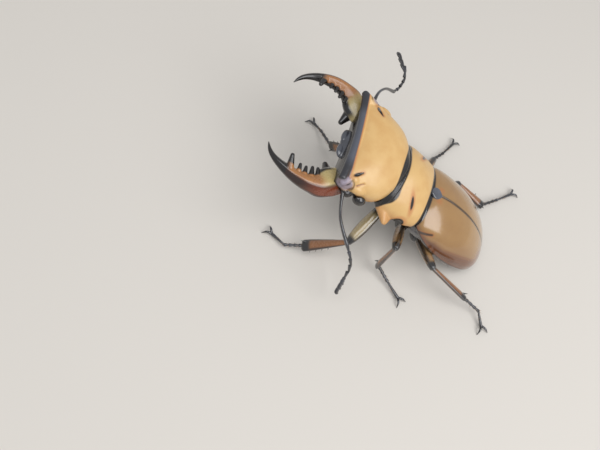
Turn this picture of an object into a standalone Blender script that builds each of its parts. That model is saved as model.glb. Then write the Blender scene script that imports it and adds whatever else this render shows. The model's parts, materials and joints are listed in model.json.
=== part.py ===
# A mask stag beetle, a large male of the long-jawed form, standing as a still, life-size model.
# It faces -Y, its left side is +X, and its claws stand on the plane Z = 0 under the model's middle.
# Lengths are in millimetres and angles in degrees until the last step turns the model to metres.

import math

import bmesh
import bpy
from mathutils import Matrix, Vector

METRES = 0.001
GAP = 0.3                      # clear space between two pieces that meet
WHOLE_TURN = 2.0 * math.pi

# Pose of the trunk: the fore end is raised, and the head dips a little against the neck shield
FLOOR_POINT = Vector((3.05, 4.675, 0.0))    # the floor under the scutellum
SCUTELLUM_HEIGHT = 14.87
WING_CASE_PITCH = 26.7
SHIELD_PITCH = 28.4
HEAD_PITCH = 19.2
WING_CASE_YAW = 1.1
HEAD_YAW = -0.7
TRUNK_ROLL = -2.1
HEAD_ROLL = -4.3
SHIELD_FROM_SCUTELLUM = (0.0, 1.6, 0.2)    # left, forward, up in the wing cases' frame
HEAD_FROM_SHIELD = (0.0, 6.6, 0.4)

# How finely the forms are divided
RING_SIDES = 28
LIMB_SIDES = 8
FINE_SIDES = 6
SPINE_SIDES = 4

# Trunk forms, hind end first: forward, half width, height of the widest line, top, underside,
# squareness of the section, lean of the ring and bow of its sides forward
HEAD_RINGS = (
    (-0.5, 2.0, -3.4, -1.6, -5.2, 2.0, 0.0, 0.0),
    (0.1, 3.8, -3.4, -0.1, -6.4, 2.0, 0.0, 0.0),
    (1.0, 5.6, -3.4, 0.35, -7.0, 2.1, 0.0, 0.0),
    (2.4, 7.2, -3.4, 0.7, -7.3, 2.2, 0.0, 0.0),
    (4.2, 8.0, -3.4, 0.9, -7.4, 2.3, 0.0, 0.0),
    (6.2, 8.4, -3.2, 0.9, -7.3, 2.4, 0.05, 0.1),
    (8.2, 8.8, -2.9, 0.45, -6.9, 2.6, 0.05, 0.3),
    (9.5, 8.7, -2.7, -0.15, -6.5, 2.8, 0.0, 0.5),
    (10.4, 8.4, -2.6, -0.8, -6.0, 3.0, 0.0, 0.7),
)
SHIELD_RINGS = (
    (0.0, 6.6, -3.3, 0.05, -6.6, 1.9, 0.0, -0.9),
    (1.0, 7.1, -3.8, 0.5, -7.2, 1.85, 0.0, -0.5),
    (2.2, 7.35, -4.2, 0.8, -7.5, 1.8, 0.0, -0.2),
    (3.6, 7.4, -4.3, 0.95, -7.6, 1.8, 0.0, 0.0),
    (5.0, 7.35, -4.4, 0.8, -7.5, 1.85, 0.0, 0.0),
    (6.2, 7.1, -4.4, 0.45, -7.2, 1.9, 0.0, 0.0),
    (7.4, 6.6, -4.4, -0.1, -6.8, 2.0, 0.0, 0.3),
)
# Corner on each side of the neck shield, and the round notch behind it
SHIELD_CORNER_ROOT = (6.7, 4.3, -4.5)
SHIELD_CORNER_TIP = (8.6, 3.7, -5.1)
SHIELD_CORNER_RADIUS = 1.25
SHIELD_NOTCH_PLACE = (8.1, 2.1, -4.8)
SHIELD_NOTCH_RADII = (1.35, 1.2, 2.0)
CHEST_RINGS = (
    (-2.9, 6.4, -4.6, -0.75, -8.2, 2.2, 0.0, 0.0),
    (-1.5, 6.3, -4.5, -0.9, -8.2, 2.2, 0.0, 0.0),
    (0.0, 6.0, -4.4, -1.1, -7.9, 2.2, 0.0, 0.0),
    (1.4, 5.2, -4.2, -1.3, -7.4, 2.2, 0.0, 0.0),
)
BELLY_RINGS = (
    (-18.4, 0.9, -6.0, -5.4, -6.3, 2.0, 0.0, 0.0),
    (-17.9, 2.1, -6.0, -5.1, -6.7, 2.0, 0.0, 0.0),
    (-16.9, 3.5, -5.9, -4.4, -7.1, 2.0, 0.0, 0.0),
    (-15.2, 4.9, -5.8, -3.2, -7.6, 2.0, 0.0, 0.0),
    (-13.0, 6.0, -5.6, -2.0, -8.1, 2.1, 0.0, 0.0),
    (-10.5, 6.6, -5.3, -1.1, -8.5, 2.1, 0.0, 0.0),
    (-8.0, 6.8, -5.0, -0.6, -8.5, 2.2, 0.0, 0.0),
    (-5.5, 6.6, -4.6, -0.35, -8.3, 2.2, 0.0, 0.0),
    (-3.2, 6.2, -4.5, -0.5, -8.0, 2.2, 0.0, 0.0),
)

# Wing case, tail first: forward, half width, height of the outer edge, height of the suture
WING_CASE_RINGS = (
    (-18.95, 1.5, -5.75, -4.95),
    (-18.3, 3.2, -5.7, -4.3),
    (-17.0, 4.8, -5.6, -3.25),
    (-15.2, 6.15, -5.5, -2.05),
    (-13.0, 7.1, -5.4, -0.87),
    (-10.5, 7.7, -5.2, 0.05),
    (-8.0, 7.9, -4.9, 0.58),
    (-5.5, 7.75, -4.5, 0.79),
    (-3.0, 7.5, -3.9, 0.7),
    (-0.8, 7.0, -3.2, 0.25),
    (0.6, 6.2, -2.9, -0.25),
    (1.6, 4.6, -2.7, -0.6),
)
WING_CASE_SQUARENESS = 2.0
WING_CASE_RIM = 0.5            # the turned-down strip below the outer edge
WING_CASE_ARC_POINTS = 11

# Scutellum: half width at the front and its tip behind
SCUTELLUM_HALF_WIDTH = 1.5
SCUTELLUM_FRONT = 1.5
SCUTELLUM_TIP = -1.5
SCUTELLUM_TOP = 0.25
SCUTELLUM_UNDER = -0.8

# Front of the head: the raised rim with a lobe at each end, the lip, the feelers of the mouth
CREST_HALF_WIDTH = 8.2
CREST_MIDDLE = (10.7, -1.0)                # forward, up
CREST_CORNER = (11.2, -1.3)
CREST_RADIUS = 0.6
CREST_LOBE_TIP = (8.8, 12.1, -1.3)
CREST_SKEW = -0.06                         # how far its left end lies behind its right one
LIP_PATH = ((0.0, 9.6, -4.1, 2.9, 1.0), (0.0, 10.8, -4.6, 2.6, 0.7), (0.0, 11.6, -5.0, 2.0, 0.3))
PALP_PATH = (
    (2.2, 8.0, -6.0, 0.42, 0.42),
    (2.8, 8.7, -7.2, 0.4, 0.4),
    (3.1, 8.9, -8.0, 0.36, 0.36),
    (3.0, 9.0, -8.7, 0.3, 0.3),
)
EYE_PLACE = (8.3, 5.55, -3.4)
EYE_RADII = (1.05, 1.4, 1.2)
EYE_RINGS = 7

# Jaw of one side in the head's frame: left, forward, up, half width, half depth
JAW_PATH = (
    (6.8, 9.6, -4.9, 2.3, 1.5),
    (7.9, 11.1, -5.1, 2.45, 1.65),
    (9.25, 12.5, -5.25, 1.85, 1.6),
    (9.85, 14.1, -5.25, 1.4, 1.3),
    (10.05, 15.8, -5.35, 1.2, 1.1),
    (9.9, 17.4, -5.55, 1.0, 0.92),
    (9.55, 19.0, -5.8, 0.76, 0.72),
    (9.05, 20.4, -6.15, 0.55, 0.53),
    (8.3, 21.5, -6.5, 0.42, 0.4),
    (7.4, 22.25, -6.75, 0.3, 0.3),
    (6.35, 22.8, -7.0, 0.0, 0.0),
)
# Teeth on its inner edge: root, tip and root radius
JAW_TEETH = (
    ((6.9, 11.9, -5.4), (3.8, 12.7, -5.9), 0.95),
    ((8.3, 13.2, -4.7), (6.3, 13.5, -4.2), 0.42),
    ((8.9, 14.4, -4.7), (7.1, 14.6, -4.2), 0.42),
    ((9.3, 15.8, -4.9), (7.8, 16.1, -4.3), 0.34),
    ((9.2, 16.8, -5.0), (7.9, 17.1, -4.4), 0.34),
    ((9.4, 18.5, -5.5), (7.3, 19.1, -4.6), 0.5),
)

# Feelers in the head's frame: the long first joint, then the small joints and the club's length
SCAPE_LEFT = ((8.0, 9.3, -2.9), (11.1, 8.0, -4.1), (12.9, 6.3, -5.5), (15.2, 3.0, -7.1))
SCAPE_RIGHT = ((-8.0, 9.3, -2.9), (-11.8, 8.8, -3.2), (-14.5, 7.2, -4.2), (-16.4, 4.7, -5.8))
LASH_LEFT = ((15.2, 3.0, -7.1), (16.4, 1.2, -8.1), (17.4, 0.0, -9.3), (18.9, -0.7, -11.2))
LASH_RIGHT = ((-16.4, 4.7, -5.8), (-17.8, 3.9, -6.0), (-20.0, 3.4, -5.9), (-21.9, 3.8, -5.8))
CLUB_TIP_LEFT = (20.9, -1.3, -13.6)
CLUB_TIP_RIGHT = (-25.2, 5.7, -6.5)
SCAPE_RADII = (0.42, 0.27, 0.27, 0.36)
LASH_BEADS = 6
LASH_RADIUS = 0.31
CLUB_BLADES = 3
CLUB_BLADE_SIZE = (1.25, 0.5, 0.28)        # length, half width, half thickness

# Legs: hip in the frame that carries it, then knee, shin's end, fourth joint of the foot and
# foot's end as places round the floor point
LEGS = {
    "fore_left": ("shield", (3.7, 3.4, -7.1), (11.0, -11.6, 6.9), (12.3, -18.5, 2.3),
                  (12.9, -21.9, 1.0), (11.3, -24.9, 0.55)),
    "fore_right": ("shield", (-3.7, 3.4, -7.1), (-7.8, -14.1, 8.1), (-10.6, -19.2, 2.1),
                   (-14.2, -22.1, 0.9), (-15.6, -24.0, 0.55)),
    "mid_left": ("cases", (3.9, -0.5, -7.9), (11.0, -4.0, 10.8), (10.8, -4.3, 2.3),
                 (12.7, -1.6, 1.1), (15.0, 1.3, 0.55)),
    "mid_right": ("cases", (-3.9, -0.5, -7.9), (-12.4, 0.1, 7.6), (-16.7, 1.4, 1.1),
                  (-20.0, 3.7, 0.8), (-23.5, 5.5, 0.55)),
    "hind_left": ("cases", (3.6, -4.9, -8.3), (10.3, 4.4, 7.5), (11.7, 12.5, 3.6),
                  (12.2, 16.6, 1.5), (14.6, 18.0, 0.55)),
    "hind_right": ("cases", (-3.6, -4.9, -8.3), (-11.4, 7.0, 4.5), (-10.7, 13.6, 1.4),
                   (-13.7, 16.9, 0.8), (-16.6, 19.9, 0.55)),
}
HIP_RADII = (1.7, 1.3, 1.2)
THIGH_SIZES = ((0.75, 0.65), (1.05, 0.85), (1.15, 0.9), (0.95, 0.8), (0.65, 0.6))
SHIN_SIZES = ((0.48, 0.45), (0.55, 0.45), (0.66, 0.48), (0.8, 0.52), (0.85, 0.5))
FORE_SHIN_SIZES = ((0.5, 0.45), (0.65, 0.48), (0.85, 0.5), (1.05, 0.52), (1.1, 0.5))
SHIN_SPINES = {"fore": 4, "mid": 2, "hind": 1}
SHIN_SPINE_LENGTH = 0.8
SHIN_SPINE_RADIUS = 0.22
SHIN_SPUR_LENGTH = 1.2
FOOT_ROOT = 0.23               # how far the foot starts inside the shin, before it is cut clear
FOOT_BEADS = 4
FOOT_BEAD_RADII = (0.27, 0.36, 0.44)
FOOT_LAST_RADII = (0.26, 0.27, 0.32, 0.38)
CLAW_LENGTH = 1.65
CLAW_SPREAD = 42.0
CLAW_RADIUS = 0.27
CLAW_ARCH = 0.35

# Finishes: colour as red, green, blue, then roughness
OCHRE = ("ochre horn", (0.72, 0.41, 0.11), 0.28)
TAN = ("tan horn", (0.62, 0.36, 0.12), 0.25)
AMBER = ("amber horn", (0.56, 0.2, 0.04), 0.25)
BLACK = ("black horn", (0.02, 0.017, 0.016), 0.25)
UMBER = ("umber horn", (0.3, 0.16, 0.05), 0.35)
EYE_BLACK = ("eye", (0.008, 0.008, 0.01), 0.1)


def paint(finish):
    """Material of a finish, made the first time it is asked for."""
    name, colour, roughness = finish
    material = bpy.data.materials.get(name)
    if material is None:
        material = bpy.data.materials.new(name)
        material.use_nodes = True
        shader = material.node_tree.nodes["Principled BSDF"]
        shader.inputs["Base Color"].default_value = (*colour, 1.0)
        shader.inputs["Roughness"].default_value = roughness
        shader.inputs["Metallic"].default_value = 0.0
    return material


def body_frame(origin, pitch, yaw, roll):
    """Matrix from left, forward and up in a part's own frame to the model's space."""
    pitch = math.radians(pitch)
    roll = math.radians(roll)
    left = Vector((1.0, 0.0, 0.0))
    forward = Vector((0.0, -math.cos(pitch), math.sin(pitch)))
    up = Vector((0.0, math.sin(pitch), math.cos(pitch)))
    rolled_left = left * math.cos(roll) + up * math.sin(roll)
    rolled_up = up * math.cos(roll) - left * math.sin(roll)
    turn = Matrix.Rotation(math.radians(yaw), 3, "Z")
    axes = Matrix((turn @ rolled_left, turn @ forward, turn @ rolled_up)).transposed()
    frame = axes.to_4x4()
    frame.translation = origin
    return frame


def make_frames():
    """Frames of the wing cases, the neck shield and the head, each set on the one behind it."""
    scutellum = FLOOR_POINT + Vector((0.0, 0.0, SCUTELLUM_HEIGHT))
    cases = body_frame(scutellum, WING_CASE_PITCH, WING_CASE_YAW, TRUNK_ROLL)
    level = body_frame(scutellum, WING_CASE_PITCH, 0.0, 0.0)
    shield_origin = level @ Vector(SHIELD_FROM_SCUTELLUM)
    shield = body_frame(shield_origin, SHIELD_PITCH, 0.0, TRUNK_ROLL)
    level = body_frame(shield_origin, SHIELD_PITCH, 0.0, 0.0)
    head = body_frame(level @ Vector(HEAD_FROM_SHIELD), HEAD_PITCH, HEAD_YAW, HEAD_ROLL)
    return {"cases": cases, "shield": shield, "head": head}


def smooth(rows, steps):
    """Rows on a smooth curve through the given rows, with this many steps from each to the next."""
    rows = [Vector(row) for row in rows]
    last = len(rows) - 1
    result = []
    for index in range(last):
        before = rows[max(index - 1, 0)]
        start = rows[index]
        end = rows[index + 1]
        after = rows[min(index + 2, last)]
        for step in range(steps):
            t = step / steps
            slope_in = (end - before) * 0.5
            slope_out = (after - start) * 0.5
            rise = 3.0 * t * t - 2.0 * t ** 3
            result.append(
                start * (1.0 - rise)
                + end * rise
                + slope_in * (t ** 3 - 2.0 * t * t + t)
                + slope_out * (t ** 3 - t * t)
            )
    result.append(rows[last])
    return result


def power_of(value, squareness):
    """Signed power that gives a superellipse its round or square corners."""
    return math.copysign(abs(value) ** (2.0 / squareness), value)


def trunk_ring(frame, row, sides=RING_SIDES):
    """One closed cross-section of a trunk form."""
    forward, width, level, top, under, squareness, lean, bow = row
    ring = []
    for index in range(sides):
        angle = WHOLE_TURN * index / sides
        across = power_of(math.cos(angle), squareness)
        rise = power_of(math.sin(angle), squareness)
        height = (top - level) if rise > 0.0 else (level - under)
        up = level + height * rise
        ring.append(frame @ Vector((width * across, forward + lean * (level - up) + bow * across ** 2, up)))
    return ring


def sweep(path, sizes, over, sides):
    """Rings round a path; sizes are half width and half depth, and a size of nothing is a tip."""
    rings = []
    last = len(path) - 1
    for index, point in enumerate(path):
        along = (path[min(index + 1, last)] - path[max(index - 1, 0)]).normalized()
        across = along.cross(over).normalized()
        up = across.cross(along)
        width, depth = sizes[index]
        if width <= 0.0:
            rings.append([point.copy()])
            continue
        ring = []
        for side in range(sides):
            angle = WHOLE_TURN * side / sides
            ring.append(point + across * width * math.cos(angle) + up * depth * math.sin(angle))
        rings.append(ring)
    return rings


def skin(name, rings, finish):
    """Object with one closed mesh through the rings; a ring of one point is a tip."""
    mesh_maker = bmesh.new()
    rows = [[mesh_maker.verts.new(point) for point in ring] for ring in rings]
    for first, second in zip(rows, rows[1:]):
        count = max(len(first), len(second))
        for index in range(count):
            following = (index + 1) % count
            corners = (
                first[index % len(first)],
                first[following % len(first)],
                second[following % len(second)],
                second[index % len(second)],
            )
            mesh_maker.faces.new(list(dict.fromkeys(corners)))
    for row in (rows[0], rows[-1]):
        if len(row) > 1:
            mesh_maker.faces.new(row)
    bmesh.ops.recalc_face_normals(mesh_maker, faces=mesh_maker.faces)
    bmesh.ops.triangulate(mesh_maker, faces=mesh_maker.faces)
    mesh = bpy.data.meshes.new(name)
    mesh_maker.to_mesh(mesh)
    mesh_maker.free()
    mesh.materials.append(paint(finish))
    piece = bpy.data.objects.new(name, mesh)
    bpy.context.scene.collection.objects.link(piece)
    return piece


def blown_up(piece, amount):
    """Copy of a closed piece whose faces lie this far outside the piece's own."""
    mesh = piece.data.copy()
    mesh_maker = bmesh.new()
    mesh_maker.from_mesh(mesh)
    moves = [vert.normal * amount * min(vert.calc_shell_factor(), 1.5) for vert in mesh_maker.verts]
    for vert, move in zip(mesh_maker.verts, moves):
        vert.co += move
    mesh_maker.to_mesh(mesh)
    mesh_maker.free()
    copy = bpy.data.objects.new(piece.name + ".cutter", mesh)
    bpy.context.scene.collection.objects.link(copy)
    return copy


def keep_largest(mesh_maker):
    """Drop every closed surface but the one with the most area."""
    islands = []
    seen = set()
    for face in mesh_maker.faces:
        if face in seen:
            continue
        island = []
        queue = [face]
        seen.add(face)
        while queue:
            current = queue.pop()
            island.append(current)
            for edge in current.edges:
                for neighbour in edge.link_faces:
                    if neighbour not in seen:
                        seen.add(neighbour)
                        queue.append(neighbour)
        islands.append(island)
    islands.sort(key=lambda island: sum(face.calc_area() for face in island))
    for island in islands[:-1]:
        bmesh.ops.delete(mesh_maker, geom=island, context="FACES")


def combine(piece, others, operation):
    """Join the others to the piece or cut them from it, and remove them."""
    group = bpy.data.collections.new("tools of " + piece.name)
    bpy.context.scene.collection.children.link(group)
    for other in others:
        group.objects.link(other)
    modifier = piece.modifiers.new(operation.lower(), "BOOLEAN")
    modifier.operation = operation
    modifier.operand_type = "COLLECTION"
    modifier.collection = group
    modifier.solver = "EXACT"
    view = bpy.context.evaluated_depsgraph_get()
    result = bpy.data.meshes.new_from_object(piece.evaluated_get(view))
    piece.modifiers.clear()
    mesh_maker = bmesh.new()
    mesh_maker.from_mesh(result)
    keep_largest(mesh_maker)
    bmesh.ops.triangulate(mesh_maker, faces=mesh_maker.faces)
    mesh_maker.to_mesh(result)
    mesh_maker.free()
    finish = piece.data.materials[0]
    piece.data = result
    result.name = piece.name
    result.materials.clear()
    result.materials.append(finish)
    for other in others:
        bpy.data.objects.remove(other)
    bpy.data.collections.remove(group)


def cut_clear(piece, *neighbours):
    """Cut the piece back until a thin gap parts it from each neighbour."""
    combine(piece, [blown_up(neighbour, GAP) for neighbour in neighbours], "DIFFERENCE")


def spine(name, root, tip, radius, finish, sides=SPINE_SIDES):
    """Straight tapered point."""
    over = Vector((0.0, 0.0, 1.0)) if abs((tip - root).normalized().z) < 0.9 else Vector((0.0, 1.0, 0.0))
    return skin(name, sweep([root, tip], [(radius, radius), (0.0, 0.0)], over, sides), finish)


def ball(name, frame, place, radii, finish, rings, sides):
    """Rounded lump with its own three radii."""
    loops = []
    for index in range(rings + 1):
        angle = math.pi * index / rings
        size = math.sin(angle)
        middle = Vector(place) + Vector((radii[0] * math.cos(angle), 0.0, 0.0))
        if index in (0, rings):
            loops.append([frame @ middle])
            continue
        loop = []
        for side in range(sides):
            turn = WHOLE_TURN * side / sides
            offset = Vector((0.0, radii[1] * size * math.cos(turn), radii[2] * size * math.sin(turn)))
            loop.append(frame @ (middle + offset))
        loops.append(loop)
    return skin(name, loops, finish)


def make_head(frames):
    frame = frames["head"]
    rings = [trunk_ring(frame, row) for row in smooth(HEAD_RINGS, 2)]
    head = skin("head", rings, OCHRE)
    path = []
    count = 14
    for index in range(count + 1):
        share = 2.0 * index / count - 1.0
        left = CREST_HALF_WIDTH * share
        forward = CREST_MIDDLE[0] + (CREST_CORNER[0] - CREST_MIDDLE[0]) * share ** 2
        up = CREST_MIDDLE[1] + (CREST_CORNER[1] - CREST_MIDDLE[1]) * share ** 2
        path.append(frame @ Vector((left, forward + CREST_SKEW * left, up)))
    tip_left, tip_forward, tip_up = CREST_LOBE_TIP
    for side, index in ((-1.0, 0), (1.0, len(path) + 1)):
        left = side * tip_left
        path.insert(index, frame @ Vector((left, tip_forward + CREST_SKEW * left, tip_up)))
    sizes = [(CREST_RADIUS, CREST_RADIUS)] * len(path)
    sizes[0] = (0.0, 0.0)
    sizes[-1] = (0.0, 0.0)
    crest = skin("crest", sweep(path, sizes, frame.to_3x3() @ Vector((0.0, 0.0, 1.0)), FINE_SIDES), BLACK)
    combine(head, [crest], "UNION")
    return head


def make_eye(frames, head, side, word):
    left, forward, up = EYE_PLACE
    eye = ball("eye_" + word, frames["head"], (side * left, forward, up), EYE_RADII, EYE_BLACK,
               EYE_RINGS, 12)
    combine(head, [blown_up(eye, GAP)], "DIFFERENCE")
    return eye


def head_sweep(frames, name, rows, steps, sides, finish, side=1.0):
    """Tube in the head's frame from rows of left, forward, up, half width and half depth."""
    frame = frames["head"]
    rows = smooth(rows, steps)
    path = [frame @ Vector((side * row[0], row[1], row[2])) for row in rows]
    sizes = [(row[3], row[4]) for row in rows]
    return skin(name, sweep(path, sizes, frame.to_3x3() @ Vector((0.0, 0.0, 1.0)), sides), finish)


def make_jaw(frames, head, side, word):
    frame = frames["head"]
    jaw = head_sweep(frames, "mandible_" + word, JAW_PATH, 2, 12, AMBER, side)
    teeth = []
    for index, (root, tip, radius) in enumerate(JAW_TEETH):
        root_point = frame @ Vector((side * root[0], root[1], root[2]))
        tip_point = frame @ Vector((side * tip[0], tip[1], tip[2]))
        teeth.append(spine(f"tooth_{index}", root_point, tip_point, radius, BLACK, 5))
    combine(jaw, teeth, "UNION")
    cut_clear(jaw, head)
    return jaw


def make_mouth(frames, head, jaws):
    lip = head_sweep(frames, "labrum", LIP_PATH, 2, 12, BLACK)
    cut_clear(lip, head, *jaws)
    pieces = [lip]
    for side, word in ((1.0, "left"), (-1.0, "right")):
        palp = head_sweep(frames, "palp_" + word, PALP_PATH, 2, FINE_SIDES, UMBER, side)
        cut_clear(palp, head, lip, *jaws)
        pieces.append(palp)
    return pieces


def make_feeler(frames, head, word, scape_points, lash_points, club_tip):
    frame = frames["head"]
    over = Vector((0.0, 0.0, 1.0))
    rows = smooth([(*point, radius) for point, radius in zip(scape_points, SCAPE_RADII)], 3)
    path = [frame @ Vector(row[:3]) for row in rows]
    scape = skin("antenna_scape_" + word, sweep(path, [(row[3], row[3]) for row in rows], over, FINE_SIDES),
                 BLACK)
    cut_clear(scape, head)
    steps = 4
    centres = [frame @ Vector(row) for row in smooth(lash_points, LASH_BEADS * steps // 3)]
    sizes = []
    for index in range(len(centres)):
        swell = abs(math.sin(math.pi * index / steps))
        radius = LASH_RADIUS * (0.8 + 0.35 * swell)
        sizes.append((radius, radius))
    lash = skin("antenna_club_" + word, sweep(centres, sizes, over, FINE_SIDES), BLACK)
    tip = frame @ Vector(club_tip)
    start = centres[-1]
    blades = []
    length, width, thickness = CLUB_BLADE_SIZE
    along = (tip - start).normalized()
    outward = along.cross(over).normalized()
    for index in range(CLUB_BLADES):
        root = start + (tip - start) * (index / CLUB_BLADES) - along * 0.35
        end = root + (tip - start) * (1.0 / CLUB_BLADES) + along * 0.7
        blade_path = [root, root.lerp(end, 0.5), end, end + outward * length * 0.5 + along * 0.2]
        blade_sizes = [(0.26, 0.26), (width * 0.8, thickness), (width, thickness), (0.0, 0.0)]
        blades.append(skin(f"blade_{index}", sweep(blade_path, blade_sizes, over, FINE_SIDES), BLACK))
    combine(lash, blades, "UNION")
    cut_clear(lash, scape)
    return [scape, lash]


def make_shield(frame):
    shield = skin("pronotum", [trunk_ring(frame, row) for row in smooth(SHIELD_RINGS, 2)], OCHRE)
    corners = []
    notches = []
    for side in (1.0, -1.0):
        root, tip, notch = (Vector((side * place[0], place[1], place[2]))
                            for place in (SHIELD_CORNER_ROOT, SHIELD_CORNER_TIP, SHIELD_NOTCH_PLACE))
        corners.append(spine("corner", frame @ root, frame @ tip, SHIELD_CORNER_RADIUS, OCHRE, LIMB_SIDES))
        notches.append(ball("notch", frame, notch, SHIELD_NOTCH_RADII, OCHRE, 8, 12))
    combine(shield, corners, "UNION")
    combine(shield, notches, "DIFFERENCE")
    return shield


def make_trunk(frames, head):
    shield = make_shield(frames["shield"])
    cut_clear(shield, head)
    frame = frames["cases"]
    chest = skin("metathorax", [trunk_ring(frame, row) for row in smooth(CHEST_RINGS, 1)], BLACK)
    cut_clear(chest, shield)
    belly = skin("abdomen", [trunk_ring(frame, row) for row in smooth(BELLY_RINGS, 1)], UMBER)
    wide = SCUTELLUM_HALF_WIDTH
    corners = ((-wide, SCUTELLUM_FRONT), (wide, SCUTELLUM_FRONT), (wide * 0.8, 0.0), (0.0, SCUTELLUM_TIP),
               (-wide * 0.8, 0.0))
    plates = [[frame @ Vector((left, forward, up)) for left, forward in corners]
              for up in (SCUTELLUM_UNDER, SCUTELLUM_TOP)]
    scutellum = skin("scutellum", plates, BLACK)
    cut_clear(scutellum, shield, chest)
    return {"shield": shield, "chest": chest, "belly": belly, "scutellum": scutellum}


def wing_case_ring(frame, row, side):
    """Half a cross-section of the closed wing cases, from the outer edge up to the suture."""
    forward, width, level, top = row
    ring = []
    for index in range(WING_CASE_ARC_POINTS):
        angle = 0.5 * math.pi * index / (WING_CASE_ARC_POINTS - 1)
        across = max(width * power_of(math.cos(angle), WING_CASE_SQUARENESS), GAP / 2.0)
        up = level + (top - level) * power_of(math.sin(angle), WING_CASE_SQUARENESS)
        ring.append(frame @ Vector((side * across, forward, up)))
    floor = level - WING_CASE_RIM
    ring.append(frame @ Vector((side * GAP / 2.0, forward, floor)))
    ring.append(frame @ Vector((side * width * 0.97, forward, floor)))
    return ring


def make_wing_case(frames, trunk, side, word):
    rings = [wing_case_ring(frames["cases"], row, side) for row in smooth(WING_CASE_RINGS, 1)]
    case = skin("elytron_" + word, rings, TAN)
    cut_clear(case, trunk["shield"], trunk["scutellum"], trunk["chest"], trunk["belly"])
    return case


def floor_place(place):
    return FLOOR_POINT + Vector(place)


def make_leg(frames, name, trunk):
    carrier, hip, knee, shin_end, foot_joint, foot_end = LEGS[name]
    knee, shin_end, foot_joint, foot_end = (floor_place(p) for p in (knee, shin_end, foot_joint, foot_end))
    pair = name.split("_")[0]
    coxa = ball("coxa_" + name, frames[carrier], hip, HIP_RADII, BLACK, 6, 10)
    hip_point = frames[carrier] @ Vector(hip)
    bend = (knee - hip_point).cross(shin_end - knee).normalized()
    path = [hip_point.lerp(knee, share) for share in (0.0, 0.3, 0.6, 0.85, 1.0)]
    thigh = skin("femur_" + name, sweep(path, THIGH_SIZES, bend, LIMB_SIDES), UMBER)
    shin_path = [knee.lerp(shin_end, share) for share in (0.0, 0.25, 0.5, 0.8, 1.0)]
    sizes = FORE_SHIN_SIZES if pair == "fore" else SHIN_SIZES
    shin = skin("tibia_" + name, sweep(shin_path, sizes, bend, LIMB_SIDES), UMBER)
    foot = make_foot(name, shin_end, foot_joint, foot_end)
    body = [trunk["shield"], trunk["chest"], trunk["belly"]]
    cut_clear(foot, shin)
    cut_clear(shin, thigh, *body)
    cut_clear(thigh, coxa, *body)
    cut_clear(coxa, *body)
    combine(shin, shin_spines(pair, hip_point, shin_path, sizes), "UNION")
    return [coxa, thigh, shin, foot]


def shin_spines(pair, hip, path, sizes):
    """Spines down the outer edge of a shin, and two spurs at its end."""
    knee = path[0]
    end = path[-1]
    along = (end - knee).normalized()
    thigh = knee - hip
    outward = (thigh - along * thigh.dot(along)).normalized()
    spines = []
    count = SHIN_SPINES[pair]
    for index in range(count):
        share = 0.35 + 0.55 * (index + 0.5) / count
        middle = knee.lerp(end, share)
        width = sizes[0][0] + (sizes[-1][0] - sizes[0][0]) * share
        tip = middle + outward * (width + SHIN_SPINE_LENGTH) + along * SHIN_SPINE_LENGTH * 0.6
        spines.append(spine(f"spine_{index}", middle, tip, SHIN_SPINE_RADIUS, BLACK))
    sideways = along.cross(outward)
    for index, turn in enumerate((1.0, -1.0)):
        depth = sizes[-1][1]
        root = end - along * 0.6 + sideways * turn * depth * 0.4 - outward * depth
        tip = end + sideways * turn * (depth + SHIN_SPUR_LENGTH * 0.4) + along * SHIN_SPUR_LENGTH * 0.35
        tip -= outward * SHIN_SPUR_LENGTH * 0.7
        spines.append(spine(f"spur_{index}", root, tip, SHIN_SPINE_RADIUS, BLACK))
    return spines


def make_foot(name, start, joint, end):
    """Four bead-like joints, one long joint and two claws whose tips are cut flat at the floor."""
    over = Vector((0.0, 0.0, 1.0))
    start = start - (joint - start).normalized() * FOOT_ROOT
    path = []
    sizes = []
    for bead in range(FOOT_BEADS):
        for step, radius in enumerate(FOOT_BEAD_RADII):
            path.append(start.lerp(joint, (bead + step / len(FOOT_BEAD_RADII)) / FOOT_BEADS))
            sizes.append((radius, radius * 0.9))
    for step, radius in enumerate(FOOT_LAST_RADII):
        path.append(joint.lerp(end, step / (len(FOOT_LAST_RADII) - 1)))
        sizes.append((radius, radius))
    foot = skin("tarsus_" + name, sweep(path, sizes, over, FINE_SIDES), BLACK)
    ahead = Vector((end.x - joint.x, end.y - joint.y, 0.0)).normalized()
    claws = []
    for turn in (1.0, -1.0):
        way = Matrix.Rotation(math.radians(turn * CLAW_SPREAD), 3, "Z") @ ahead
        root = end - ahead * 0.25
        middle = end + way * CLAW_LENGTH * 0.5 + over * (CLAW_ARCH - 0.15)
        tip = end + way * CLAW_LENGTH - over * (end.z + 0.12)
        rows = smooth([(*root, CLAW_RADIUS), (*middle, CLAW_RADIUS * 0.85), (*tip, CLAW_RADIUS * 0.6)], 2)
        claw_path = [Vector(row[:3]) for row in rows]
        claws.append(skin("claw", sweep(claw_path, [(row[3], row[3]) for row in rows], over, 5), BLACK))
    combine(foot, claws, "UNION")
    stand_flat(foot)
    return foot


def stand_flat(piece):
    """Cut off what lies below the floor and close the cuts, so that the piece stands on flats."""
    mesh_maker = bmesh.new()
    mesh_maker.from_mesh(piece.data)
    geometry = mesh_maker.verts[:] + mesh_maker.edges[:] + mesh_maker.faces[:]
    cut = bmesh.ops.bisect_plane(
        mesh_maker, geom=geometry, dist=1e-6, plane_co=(0, 0, 0), plane_no=(0, 0, -1), clear_outer=True)
    edges = [item for item in cut["geom_cut"] if isinstance(item, bmesh.types.BMEdge)]
    bmesh.ops.holes_fill(mesh_maker, edges=edges)
    bmesh.ops.recalc_face_normals(mesh_maker, faces=mesh_maker.faces)
    bmesh.ops.triangulate(mesh_maker, faces=mesh_maker.faces)
    mesh_maker.to_mesh(piece.data)
    mesh_maker.free()


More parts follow.
